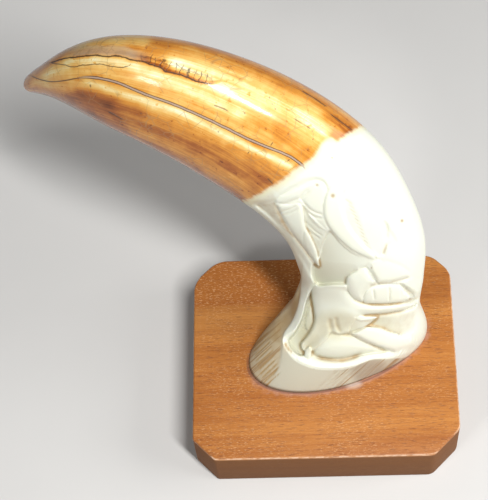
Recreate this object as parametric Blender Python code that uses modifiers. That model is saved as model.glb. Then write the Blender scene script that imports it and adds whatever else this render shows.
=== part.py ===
# A warthog's tusk, carved between its root and its stained end, on a wooden stand.
# Metres, +Z up. The origin is the centre of the stand's underside. The carved face
# looks towards -Y and upwards, and the tusk bends over towards -X.
import math

import bmesh
import bpy
import numpy as np
from mathutils import Euler, Matrix, Vector

# Wooden stand: a board with its four upright corners sawn off
stand_width = 0.088
stand_depth = 0.0726
stand_height = 0.0197
corner_cut_front_left = 0.0073
corner_cut_front_right = 0.0090
corner_cut_back_right = 0.0063
corner_cut_back_left = 0.0079
edge_easing = 0.0007
easing_angle = math.radians(30)

# Tusk: its length is measured along the centre line, from the stand to the tip
tusk_length = 0.1898
root_width = 0.0494
root_right_of_centre = 0.0036
root_behind_centre = 0.0043
foot_gap = 0.0003
tip_rounding = 0.0045

# Pose of the root: how far it leans to the right and to the back for each unit of height,
# and how far the plane of the bend is turned about the centre line
root_lean_right = 0.626
root_lean_back = 0.428
bend_plane_turn = math.radians(15.5)
whole_twist = math.radians(-60)

# Bend of the centre line, in degrees for one whole length, at five even stations
bend_rates = (182, 157, 138, 195, 212)

# Half width on the inner side of the bend and on the outer, as shares of half the root's
# width, along the length. The outer side swells above the root, is cut in to a waist
# and is worn flat towards the tip.
width_stations = (-0.2, 0.0, 0.06, 0.115, 0.17, 0.24, 0.32, 0.42, 0.60, 0.78, 0.92, 1.0)
inner_shares = (0.96, 0.96, 0.85, 0.83, 0.78, 0.805, 0.81, 0.82, 0.88, 0.60, 0.29, 0.14)
outer_shares = (1.05, 1.05, 1.15, 0.87, 0.84, 0.89, 0.92, 1.01, 0.94, 0.80, 0.25, 0.07)

# Thickness over width of the section, at the root and past the carving
root_flatness = 0.63
shaft_flatness = 0.75
flatness_change_end = 0.4

# Mesh of the tusk, made fine and then thinned where it is smooth
segments = 132
foot_rings = 9
carved_rings = 100
shaft_rings = 24
tip_rings = 5
foot_margin = 0.02
foot_highest = 0.25
foot_samples = 90
centre_line_steps = 260
sharp_angle = math.radians(50)
kept_share_of_faces = 0.25
carved_start = 0.06
carved_end = 0.50
front_crowding = 0.38

# The carving is drawn on a sheet between an eye and the tusk, and cut into the tusk along
# the lines of sight. The drawing is in millimetres for a tusk of drawn_length and grows
# with it, and its zero is the lowest point of the ledge that bounds the carving.
drawn_length = 0.1898
drawing_scale = tusk_length / drawn_length
root_place = Vector((root_right_of_centre, root_behind_centre, stand_height + foot_gap))
eye = root_place + Vector((-0.0033, -0.2246, 0.5176)) * drawing_scale
eye_turn = math.radians(5.92)
eye_pitch = math.radians(63.17)
eye_roll = math.radians(6.91)
sheet_distance = 0.5219 * drawing_scale
sheet_middle_right = 0.0300 * drawing_scale
sheet_middle_down = 0.0359 * drawing_scale
sheet_unit = 0.001 * drawing_scale
softest_facing = 0.06
full_facing = 0.34

# The hidden side is cut straight forward from behind, from the same drawing seen through
back_ledge_above_foot = 0.010 * drawing_scale
back_height_unit = 1.2
back_drift = 0.09
back_carving_share = 0.85

# Outlines of the carved forms on the sheet, each with the points that its curve needs
upper_ground = ((-22.5, 50.9), (-19.7, 50), (-16.6, 45.3), (-13.1, 39.7), (-10, 34.7), (-7.2, 29.7),
                (1.6, 25), (14, 25), (22, 25.6), (19.4, 32), (17.5, 39), (15, 45), (7.8, 50.6),
                (0, 53), (-7, 53.4), (-14, 52.5))
lower_ground = ((-7.2, 30.3), (-6.9, 25.6), (-9.7, 23.4), (-10.6, 19.4), (-12.2, 14.7), (-14.4, 10.6),
                (-16.7, 7.5), (-15.6, 4.4), (-11.9, 1.7), (-6.2, 0), (0, 0), (5.3, 1.2), (9.4, 2.7),
                (15, 3.1), (18, 4.7), (21.2, 9.4), (22.5, 14.7), (24.4, 18.4), (26.2, 20.6),
                (24.7, 24.4), (18.8, 26.6), (9.4, 28), (0, 31.2))
pit = ((-7.5, 25), (-9.1, 23.1), (-10, 19.4), (-11.6, 14.7), (-13.8, 10.6), (-15.8, 7.5),
       (-14.7, 4.7), (-11.6, 2.5), (-9.7, 4.7), (-8.4, 8.4), (-7.8, 13.4), (-8.1, 17.8), (-8.4, 21.6))
throat = ((-6.9, 31.6), (-2.5, 30.3), (0.9, 28.8), (2.2, 26.9), (1.9, 25), (-3.1, 24.7),
          (-6.9, 25.3), (-7.5, 28.4))
belly = ((-10, 4.1), (-9.1, 6.2), (-5.6, 8.8), (-1.2, 9.7), (3.8, 9.1), (8.1, 6.9), (12.5, 4.7),
         (9.4, 3.4), (5.6, 3.1), (0.6, 1.9), (-3.8, 1.7), (-8.1, 2.3))
body = ((-7.7, 25.3), (-3.8, 25.5), (1.6, 25.3), (3.8, 22.8), (6.2, 20.3), (5.6, 16.6), (3.8, 12.5),
        (1.2, 10), (-1.6, 9.4), (-5.6, 8.4), (-8.8, 5.6), (-11.2, 4.4), (-9.7, 7.8), (-8.4, 12.5),
        (-8.4, 17.2), (-8.8, 20.9))
band = ((1.6, 21.6), (6.9, 18.8), (12.5, 17.7), (18.8, 18), (24.4, 19.4))
claw = ((5.9, 15), (11.2, 15.2), (9.4, 13.4), (6.9, 11.9), (3.8, 10), (4.7, 12.5))
limb = ((3.8, 10), (6.9, 11.9), (10.9, 10.6), (15, 9.1), (19.4, 8.1), (22.5, 6.2), (18.8, 4.1),
        (14.1, 4.4), (10.9, 5.9), (6.9, 8.1))
flank = ((19.4, 8.1), (21.6, 12), (21.2, 16), (24, 18.6), (31, 19), (31, 8), (26, 0), (19.5, 3.4))
limb_hollow = ((8.8, 13.1), (14.1, 14.1), (18.8, 14.1), (20.6, 11.6), (18.8, 8.8), (15, 9.4), (10.6, 10.9))
cheek = ((-3.4, 41.2), (0, 39.7), (3.8, 35.9), (8.1, 33.8), (11.9, 33.1), (8.8, 30.9), (5.6, 29.4),
         (2.5, 27.8), (0, 28.8), (-2.5, 30.3), (-6.6, 31.6), (-6.2, 34.4), (-4.7, 38.1))
horn = ((-19.4, 47.8), (-15.6, 48.8), (-11.9, 48.4), (-10.9, 43.8), (-9.4, 38.4), (-7.8, 34.1),
        (-6.6, 30.9), (-9.1, 33.1), (-11.6, 37.2), (-14.7, 42.2), (-17.5, 45.3))
brow = ((-11.6, 48.8), (-6.9, 50.9), (-4.7, 50), (-4.7, 45.9), (-3.4, 42.2), (-5, 38.1), (-6.9, 34.1),
        (-8.8, 37.5), (-10.3, 42.8))
paw = ((2.5, 28.4), (5, 29.7), (8.1, 30.9), (10, 29.1), (12.2, 25.9), (10, 24.1), (7.5, 21.6),
       (6.6, 19.7), (3.8, 20.9), (1.9, 23.4), (1.6, 25.9))
knee = ((8.1, 30.9), (11.9, 32.8), (16.2, 32.2), (20, 29.7), (21.2, 27.5), (18.1, 26.9), (14.1, 26.2),
        (11.2, 26.2), (9.7, 28.4))
toe_wedge = ((18.4, 25.6), (21.2, 24.4), (23.4, 21.9), (22.2, 20.9), (20.3, 22.8))
ear = ((-3.1, 54.1), (-4.4, 51.6), (-4.7, 47.8), (-3.8, 44.1), (-1.6, 40.9), (2.5, 37.2), (6.6, 34.5),
       (10.9, 33.3), (12.8, 33.4), (13.8, 35.9), (13.9, 39.7), (14.7, 43.8), (15, 48.4), (12.5, 52.2),
       (7.8, 54.7), (1.6, 55.6))
ear_hollow = ((1.6, 54.1), (0.9, 50.6), (1.6, 46.6), (3.4, 42.5), (6.9, 38.4), (10, 35.3), (12.2, 33.8),
              (12.5, 36.9), (11.2, 41.6), (9.4, 46.9), (6.9, 51.6), (3.8, 54.4))
ear_crevice = ((14.7, 44.7), (15, 39.1), (14.4, 35.9), (13.1, 33.8))
toe_middles = ((8.8, 22.3), (12.8, 22.6), (17.3, 22.9), (20.6, 22.0))
toe_half_sizes = ((1.5, 2.6), (2.6, 2.9), (2.5, 2.8), (1.8, 2.2))


def smooth_step(low, high, value):
    share = np.clip((value - low) / (high - low), 0.0, 1.0)
    return share * share * (3.0 - 2.0 * share)


def smooth_values(stations, values, at):
    """Values of a curve through the stations, with the slope of its neighbours at each."""
    stations = np.asarray(stations, float)
    values = np.asarray(values, float)
    at = np.clip(at, stations[0], stations[-1])
    slopes = np.gradient(values, stations)
    piece = np.clip(np.searchsorted(stations, at) - 1, 0, len(stations) - 2)
    span = stations[piece + 1] - stations[piece]
    t = (at - stations[piece]) / span
    start = (2 * t ** 3 - 3 * t ** 2 + 1) * values[piece]
    start += (t ** 3 - 2 * t ** 2 + t) * span * slopes[piece]
    end = (3 * t ** 2 - 2 * t ** 3) * values[piece + 1]
    end += (t ** 3 - t ** 2) * span * slopes[piece + 1]
    return start + end


def smooth_outline(points, steps=5, closed=True):
    """Points along a curve that passes through the given ones."""
    points = np.asarray(points, float)
    count = len(points)
    curve = []
    for i in range(count if closed else count - 1):
        if closed:
            a, b, c, d = (points[(i + k) % count] for k in (-1, 0, 1, 2))
        else:
            a, b, c, d = (points[min(max(i + k, 0), count - 1)] for k in (-1, 0, 1, 2))
        for step in range(steps):
            t = step / steps
            curve.append(0.5 * (2 * b + (c - a) * t + (2 * a - 5 * b + 4 * c - d) * t ** 2
                                + (3 * b - a - 3 * c + d) * t ** 3))
    if not closed:
        curve.append(points[-1])
    return np.array(curve)


def distance_to(places, curve, closed):
    """Distance from each place to a line of straight pieces."""
    starts = curve if closed else curve[:-1]
    ends = np.roll(curve, -1, axis=0) if closed else curve[1:]
    nearest = np.full(len(places), 1e9)
    for start, end in zip(starts, ends):
        run = end - start
        share = np.clip((places - start) @ run / (run @ run), 0.0, 1.0)
        nearest = np.minimum(nearest, np.linalg.norm(places - start - share[:, None] * run, axis=1))
    return nearest


def depth_inside(places, outline):
    """How far each place lies inside a smooth closed outline, negative outside it."""
    curve = smooth_outline(outline)
    inside = np.zeros(len(places), bool)
    for start, end in zip(curve, np.roll(curve, -1, axis=0)):
        if start[1] == end[1]:
            continue
        spans = (start[1] > places[:, 1]) != (end[1] > places[:, 1])
        crossing = start[0] + (places[:, 1] - start[1]) * (end[0] - start[0]) / (end[1] - start[1])
        inside ^= spans & (places[:, 0] < crossing)
    return np.where(inside, 1.0, -1.0) * distance_to(places, curve, True)


def lay(height, places, outline, level, rise=0.0, reach=1.0, edge=1.2, lean=(0.0, 0.0)):
    """Lays a form over the relief: its level at the edge, rounded up by rise over reach."""
    inside = depth_inside(places, outline)
    middle = np.mean(np.asarray(outline, float), axis=0)
    crown = 1.0 - np.clip(inside / reach, 0.0, 1.0)
    form = level + rise * np.sqrt(1.0 - crown * crown) + (places - middle) @ np.array(lean)
    cover = smooth_step(-0.5 * edge, 0.5 * edge, inside)
    return height * (1.0 - cover) + form * cover


def lay_tube(height, places, path, half_width, level, rise):
    """Lays a rounded band along a line."""
    away = distance_to(places, smooth_outline(path, closed=False), False)
    round_top = np.sqrt(1.0 - np.clip(away / half_width, 0.0, 1.0) ** 2)
    cover = smooth_step(half_width, 0.6 * half_width, away)
    return height * (1.0 - cover) + (level + rise * round_top) * cover


def cut_line(height, places, path, half_width, depth):
    """Cuts a furrow along a line."""
    away = distance_to(places, smooth_outline(path, closed=False), False)
    return height - depth * np.exp(-(away / half_width) ** 2)


def lower_relief(height, places):
    """The crouching body between the ledge and the paw."""
    height = lay(height, places, lower_ground, -3.0, edge=1.5)
    height = lay(height, places, pit, -4.8)
    height = lay(height, places, belly, -3.4, rise=1.9, reach=4.0)
    height = lay(height, places, limb_hollow, -3.2, edge=2.2)
    height = lay(height, places, limb, -1.5, rise=1.2, reach=1.8)
    height = lay(height, places, flank, -0.2, edge=4.0)
    height = lay(height, places, claw, -1.9, rise=0.9, reach=1.2)
    height = lay(height, places, body, -3.0, rise=2.3, reach=4.0)
    return lay_tube(height, places, band, 2.1, -2.0, 1.3)


def upper_relief(height, places):
    """The head: horn, brow, cheek and ear, with a paw below."""
    height = lay(height, places, upper_ground, -1.3, edge=2.4)
    height = lay(height, places, throat, -4.6)
    height = lay(height, places, brow, -1.9, lean=(0.05, 0.03))
    height = lay(height, places, horn, -1.9, rise=1.4, reach=2.2)
    height = lay(height, places, cheek, -1.5, lean=(0.07, 0.0))
    height = lay(height, places, paw, -2.1, rise=2.0, reach=3.0)
    height = lay(height, places, knee, -1.1, rise=0.9, reach=1.6)
    height = lay(height, places, toe_wedge, -2.8)
    for (right, up), (half_wide, half_high) in zip(toe_middles, toe_half_sizes):
        turns = np.linspace(0.0, 2.0 * math.pi, 10, endpoint=False)
        toe = [(right + half_wide * math.cos(a), up + half_high * math.sin(a)) for a in turns]
        height = lay(height, places, toe, -2.6, rise=1.6, reach=1.7, edge=0.8)
    height = lay(height, places, ear, -0.2, rise=0.6, reach=1.5)
    height = lay(height, places, ear_hollow, -1.1, edge=1.6, lean=(0.14, 0.04))
    return cut_line(height, places, ear_crevice, 0.9, 1.8)


def front_relief(places):
    return upper_relief(lower_relief(np.zeros(len(places)), places), places)


def back_relief(places):
    """The hidden side, with the same body, ear and ledge and plainer than the front."""
    height = lay(np.zeros(len(places)), places, upper_ground, -1.2, edge=2.6)
    height = lay(height, places, lower_ground, -2.4, edge=1.8)
    height = lay(height, places, belly, -2.8, rise=1.6, reach=4.0)
    height = lay(height, places, limb, -1.4, rise=1.0, reach=1.8)
    height = lay(height, places, body, -2.4, rise=1.8, reach=4.0)
    height = lay_tube(height, places, band, 2.1, -1.8, 1.2)
    height = lay(height, places, paw, -1.8, rise=1.5, reach=3.0)
    height = lay(height, places, ear, -0.3, rise=0.4, reach=1.5)
    height = lay(height, places, ear_hollow, -1.0, edge=1.8, lean=(0.12, 0.04))
    return back_carving_share * height


def unit(rows):
    return rows / np.linalg.norm(rows, axis=1)[:, None]


def march_centre_line():
    """Places and frames along the centre line, straight below the stand's top."""
    along = Vector((root_lean_right, root_lean_back, 1.0)).normalized()
    inward = Vector((-1.0, 0.0, 0.0))
    inward = (inward - along * inward.dot(along)).normalized()
    inward = Matrix.Rotation(bend_plane_turn, 3, along) @ inward
    below = -width_stations[0] * tusk_length
    distances = np.linspace(-below, tusk_length, centre_line_steps)
    step = distances[1] - distances[0]
    place = root_place - along * below
    bend_stations = np.linspace(0.0, 1.0, len(bend_rates))
    places, tangents, inwards = [], [], []
    for distance in distances:
        places.append(place.copy())
        tangents.append(along.copy())
        inwards.append(inward.copy())
        bend = 0.0
        twist = 0.0
        if distance >= 0.0:
            rate = np.interp(distance / tusk_length, bend_stations, bend_rates)
            bend = math.radians(float(rate)) / tusk_length * step
            twist = whole_twist / tusk_length * step
        across = along.cross(inward)
        place = place + along * step + inward * (0.5 * bend * step)
        new_along = (along + inward * bend).normalized()
        inward = inward - along * bend + across * twist
        inward = (inward - new_along * inward.dot(new_along)).normalized()
        along = new_along
    return distances, np.array(places), np.array(tangents), np.array(inwards)


def surface_points(distance, angle, line):
    """Points and outward directions of the uncut tusk, for distances along the centre line
    and angles round it, where angle 0 is the side that faces the eye."""
    distances, places, tangents, inwards = line
    pick = [np.interp(distance, distances, places[:, k]) for k in range(3)]
    middle = np.stack(pick, 1)
    along = unit(np.stack([np.interp(distance, distances, tangents[:, k]) for k in range(3)], 1))
    inward = np.stack([np.interp(distance, distances, inwards[:, k]) for k in range(3)], 1)
    inward = unit(inward - along * (inward * along).sum(1)[:, None])
    across = np.cross(along, inward)
    share = distance / tusk_length
    rounding = np.clip((distance - tusk_length + tip_rounding) / tip_rounding, 0.0, 1.0)
    half_root = 0.5 * root_width * np.sqrt(np.maximum(1.0 - rounding ** 2, 0.0))
    inner_half = half_root * smooth_values(width_stations, inner_shares, share)
    outer_half = half_root * smooth_values(width_stations, outer_shares, share)
    flatness = np.interp(share, (0.0, flatness_change_end), (root_flatness, shaft_flatness))
    to_eye = unit(np.array(eye) - middle)
    facing_angle = np.arctan2((to_eye * across).sum(1), (to_eye * inward).sum(1))
    turn = facing_angle + angle
    inner_side = 0.5 + 0.5 * np.cos(turn)
    wide = inner_half * inner_side + outer_half * (1.0 - inner_side)
    thick = 0.5 * (inner_half + outer_half) * flatness
    point = middle + inward * (wide * np.cos(turn))[:, None] + across * (thick * np.sin(turn))[:, None]
    outward = unit(inward * (np.cos(turn) / np.maximum(wide, 1e-5))[:, None]
                   + across * (np.sin(turn) / np.maximum(thick, 1e-5))[:, None])
    return point, outward


def sheet_axes():
    """Right, up and forward directions of the sheet as the eye sees it."""
    turned = Euler((math.pi / 2 - eye_pitch, 0.0, eye_turn)).to_matrix()
    rolled = turned @ Matrix.Rotation(-eye_roll, 3, "Z")
    return [np.array(rolled @ Vector(axis)) for axis in ((1, 0, 0), (0, 1, 0), (0, 0, -1))]


def cut_carving(point, outward):
    """Moves the uncut surface along the lines of sight to the carved one."""
    right, up, forward = sheet_axes()
    sight = point - np.array(eye)
    reach = sheet_distance / (sight @ forward)
    across = (sight @ right * reach - sheet_middle_right) / sheet_unit
    upward = (sight @ up * reach + sheet_middle_down) / sheet_unit
    drawn = np.stack([across, upward], 1)
    sight = unit(sight)
    facing = -(sight * outward).sum(1)
    front = smooth_step(softest_facing, full_facing, facing)
    hidden = smooth_step(softest_facing, full_facing, outward[:, 1]) * (facing < 0.0)
    hidden = hidden * smooth_step(0.0, full_facing, -facing)
    back_up = (point[:, 2] - root_place.z - back_ledge_above_foot) / (back_height_unit * sheet_unit)
    back_across = (point[:, 0] - root_place.x) / sheet_unit + back_drift * back_up
    back_drawn = np.stack([back_across, back_up], 1)
    carved = point - sight * (front_relief(drawn) * front * sheet_unit)[:, None]
    carved[:, 1] += back_relief(back_drawn) * hidden * sheet_unit
    return carved


def ring_distances():
    """Distance of each ring along the centre line, close together in the carving."""
    foot = np.linspace(0.0, carved_start, foot_rings, endpoint=False)
    carved = np.linspace(carved_start, carved_end, carved_rings, endpoint=False)
    tip_start = 1.0 - tip_rounding / tusk_length
    shaft = np.linspace(carved_end, tip_start, shaft_rings, endpoint=False)
    quarter = np.linspace(0.0, math.pi / 2, tip_rings, endpoint=False)
    tip = tip_start + (1.0 - tip_start) * np.sin(quarter)
    return tusk_length * np.concatenate([foot, carved, shaft, tip])


def foot_distances(angles, line):
    """For each angle, the distance at which the uncut surface meets the foot's plane."""
    samples = np.linspace(width_stations[0], foot_highest, foot_samples) * tusk_length
    grid_distance = np.repeat(samples, len(angles))
    grid_angle = np.tile(angles, len(samples))
    point = surface_points(grid_distance, grid_angle, line)[0]
    heights = point[:, 2].reshape(len(samples), len(angles))
    return np.array([np.interp(root_place.z, heights[:, j], samples) for j in range(len(angles))])


def add_material(name, colour, roughness):
    material = bpy.data.materials.new(name)
    material.use_nodes = True
    shader = material.node_tree.nodes["Principled BSDF"]
    shader.inputs["Base Color"].default_value = (*colour, 1.0)
    shader.inputs["Roughness"].default_value = roughness
    shader.inputs["Metallic"].default_value = 0.0
    return material


def add_object(name, mesh, material, collection):
    piece = bpy.data.objects.new(name, mesh)
    mesh.materials.append(material)
    collection.objects.link(piece)
    return piece


def build_stand(collection):
    """A board with sawn corners and eased edges."""
    bm = bmesh.new()
    bmesh.ops.create_cube(bm, size=1.0)
    bmesh.ops.scale(bm, vec=(stand_width, stand_depth, stand_height), verts=bm.verts)
    bmesh.ops.translate(bm, vec=(0.0, 0.0, stand_height / 2), verts=bm.verts)
    corners = {(-1, -1): corner_cut_front_left, (1, -1): corner_cut_front_right,
               (1, 1): corner_cut_back_right, (-1, 1): corner_cut_back_left}
    for (side, end), cut in corners.items():
        upright = [e for e in bm.edges
                   if all(v.co.x * side > 0 and v.co.y * end > 0 for v in e.verts)
                   and abs(e.verts[0].co.z - e.verts[1].co.z) > 0.5 * stand_height]
        bmesh.ops.bevel(bm, geom=upright, offset=cut, offset_type="OFFSET", segments=1,
                        affect="EDGES", profile=0.5)
    mesh = bpy.data.meshes.new("stand")
    bm.to_mesh(mesh)
    bm.free()
    stand = add_object("stand", mesh, add_material("stand_wood", (0.40, 0.13, 0.035), 0.45), collection)
    easing = stand.modifiers.new("eased edges", "BEVEL")
    easing.width = edge_easing
    easing.segments = 2
    easing.limit_method = "ANGLE"
    easing.angle_limit = easing_angle
    return stand


def build_tusk(collection):
    """A ball of rings, each ring moved to its place along the bent and carved tusk."""
    rings = ring_distances()
    bm = bmesh.new()
    bmesh.ops.create_uvsphere(bm, u_segments=segments, v_segments=len(rings) + 1, radius=1.0)
    line = march_centre_line()
    even = np.arange(segments) * 2.0 * math.pi / segments
    angles = even - front_crowding * np.sin(even)
    foot = foot_distances(angles, line)
    relax = carved_end * tusk_length
    verts, ring_of, segment_of, foot_rim = [], [], [], []
    for vert in bm.verts:
        ring = round(math.acos(max(-1.0, min(1.0, -vert.co.z))) / math.pi * (len(rings) + 1)) - 1
        segment = round(math.atan2(vert.co.y, vert.co.x) / (2.0 * math.pi) * segments) % segments
        if ring < 0:
            foot_middle = vert
        elif ring == len(rings):
            tip = vert
        else:
            verts.append(vert)
            ring_of.append(ring)
            segment_of.append(segment)
    ring_of = np.array(ring_of)
    segment_of = np.array(segment_of)
    distance = rings[ring_of]
    distance = distance + foot[segment_of] * (1.0 - np.clip(distance / relax, 0.0, 1.0))
    point, outward = surface_points(distance, angles[segment_of], line)
    point[ring_of == 0, 2] = root_place.z
    carved = cut_carving(point, outward)
    clear_of_foot = np.clip((point[:, 2] - root_place.z) / (foot_margin * tusk_length), 0.0, 1.0)
    point = point + (carved - point) * clear_of_foot[:, None]
    for vert, place, ring in zip(verts, point, ring_of):
        vert.co = place
        if ring == 0:
            foot_rim.append(vert.co)
    foot_middle.co = sum(foot_rim, Vector()) / len(foot_rim)
    tip.co = Vector(surface_points(np.array([tusk_length]), np.array([0.0]), line)[0][0])
    bmesh.ops.recalc_face_normals(bm, faces=bm.faces)
    mesh = bpy.data.meshes.new("tusk")
    bm.to_mesh(mesh)
    bm.free()
    mesh.shade_smooth()
    mesh.set_sharp_from_angle(angle=sharp_angle)
    tusk = add_object("tusk", mesh, add_material("tusk_ivory", (0.83, 0.72, 0.52), 0.3), collection)
    thinning = tusk.modifiers.new("thinned mesh", "DECIMATE")
    thinning.ratio = kept_share_of_faces
    return tusk


def main():
    for old in list(bpy.data.objects):
        bpy.data.objects.remove(old, do_unlink=True)
    collection = bpy.data.collections.new("carved tusk on a stand")
    bpy.context.scene.collection.children.link(collection)
    build_stand(collection)
    build_tusk(collection)


main()
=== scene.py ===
import math
import bpy
import numpy as np
from mathutils import Euler, Matrix, Vector


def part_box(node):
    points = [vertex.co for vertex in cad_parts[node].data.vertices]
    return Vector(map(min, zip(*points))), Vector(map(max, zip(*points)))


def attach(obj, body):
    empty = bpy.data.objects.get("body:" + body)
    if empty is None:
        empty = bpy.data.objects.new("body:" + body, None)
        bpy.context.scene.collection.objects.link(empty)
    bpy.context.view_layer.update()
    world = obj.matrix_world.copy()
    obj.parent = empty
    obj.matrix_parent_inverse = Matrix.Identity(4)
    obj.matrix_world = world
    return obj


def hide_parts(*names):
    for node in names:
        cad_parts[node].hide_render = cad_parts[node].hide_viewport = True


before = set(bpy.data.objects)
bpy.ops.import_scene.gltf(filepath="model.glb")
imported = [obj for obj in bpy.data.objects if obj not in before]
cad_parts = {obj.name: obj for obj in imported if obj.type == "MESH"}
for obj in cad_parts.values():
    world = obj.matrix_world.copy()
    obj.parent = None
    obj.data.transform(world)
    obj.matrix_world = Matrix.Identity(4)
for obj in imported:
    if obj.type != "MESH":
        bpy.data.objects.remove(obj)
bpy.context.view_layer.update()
print("frame loaded")

# Metres, as in the frame. The drawing of the carving is in millimetres, on a sheet between
# the camera and the tusk, with its zero at the lowest point of the carving's ledge.
tusk = {
    "length": 0.1898,
    "rootWidth": 0.0494,
    "rootAcross": 0.0036,
    "rootBack": 0.0043,
    "footGap": 0.0003,
    "glueDepth": 0.00022,  # how far the foot reaches down into the gap
    "inset": 0.0001,  # keeps the mesh inside the solid's box
    "tipRounding": 0.0045,
    "leanRight": 0.626,
    "leanBack": 0.428,
    "bendPlaneTurn": math.radians(15.5),
    "wholeTwist": math.radians(-60),
    "bendRates": (182, 157, 138, 195, 212),  # degrees over the whole length, from foot to tip
    # half widths inside and outside the bend, as shares of the root's, at shares of the length
    "widthStations": (-0.2, 0.0, 0.06, 0.115, 0.17, 0.24, 0.32, 0.42, 0.60, 0.78, 0.92, 1.0),
    "innerShares": (0.96, 0.96, 0.85, 0.83, 0.78, 0.805, 0.81, 0.82, 0.88, 0.60, 0.29, 0.14),
    "outerShares": (1.05, 1.05, 1.15, 0.87, 0.84, 0.89, 0.92, 1.01, 0.94, 0.80, 0.25, 0.07),
    "rootFlatness": 0.63,
    "shaftFlatness": 0.75,
    "flatnessChangeEnd": 0.4,
    "middleSteps": 260,
    "segments": 370,
    "footRings": 10,
    "carvedRings": 290,
    "shaftRings": 76,
    "tipRings": 8,
    "carvedStart": 0.06,
    "carvedEnd": 0.52,
    "clearOfFoot": 0.02,  # share of the length over which the carving starts above the foot
    "footSearchEnd": 0.25,
    "footSearchSteps": 90,
    "frontCrowding": 0.45,  # draws the ring's points together on the carved face
    "mostTriangles": 196000,
    "closestPoints": 1e-7,
}

view = {
    "eye": Vector((0.0003, -0.2203, 0.5376)),
    "turn": math.radians(5.92),
    "pitch": math.radians(63.17),
    "roll": math.radians(6.91),
    "focalLength": 120.25,
    "sensor": 36.0,
    "sheetDistance": 0.5219,
    "sheetRight": 0.0300,
    "sheetDown": 0.0359,
    "sheetUnit": 0.001,
    "softestFacing": 0.05,  # the carving fades out where the surface turns away
    "fullFacing": 0.30,
    "marksGone": 0.25,  # where the surface looks away by this much, the cracks are gone:
    "marksMoved": 60.0,  # they are this many millimetres off
}

# The hidden side's own sheet is upright, and its carving is shallower
back = {
    "ledgeAboveFoot": 0.010,
    "heightUnit": 1.2,
    "drift": 0.09,
    "share": 0.85,
    "creaseDirtAndShade": 1.0,
    "creases": ("toeTop", "toeSplitA", "toeSplitB", "toeSplitC", "toesUnder", "bandUnder", "earCrevice"),
}

# Dirt and painted shade in the carving, as shares of full brown, and the depth of the small pits
carving = {
    "formDirtAndShade": 0.35,
    "footWidth": 0.45,  # how far dirt and painted shade spread along the foot of a form
    "highestStep": 1.5,  # a higher step gathers no more of it
    "creaseDirtAndShade": 0.6,
    "pitDepth": 0.35,
    "pitDirt": 0.9,
}

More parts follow.
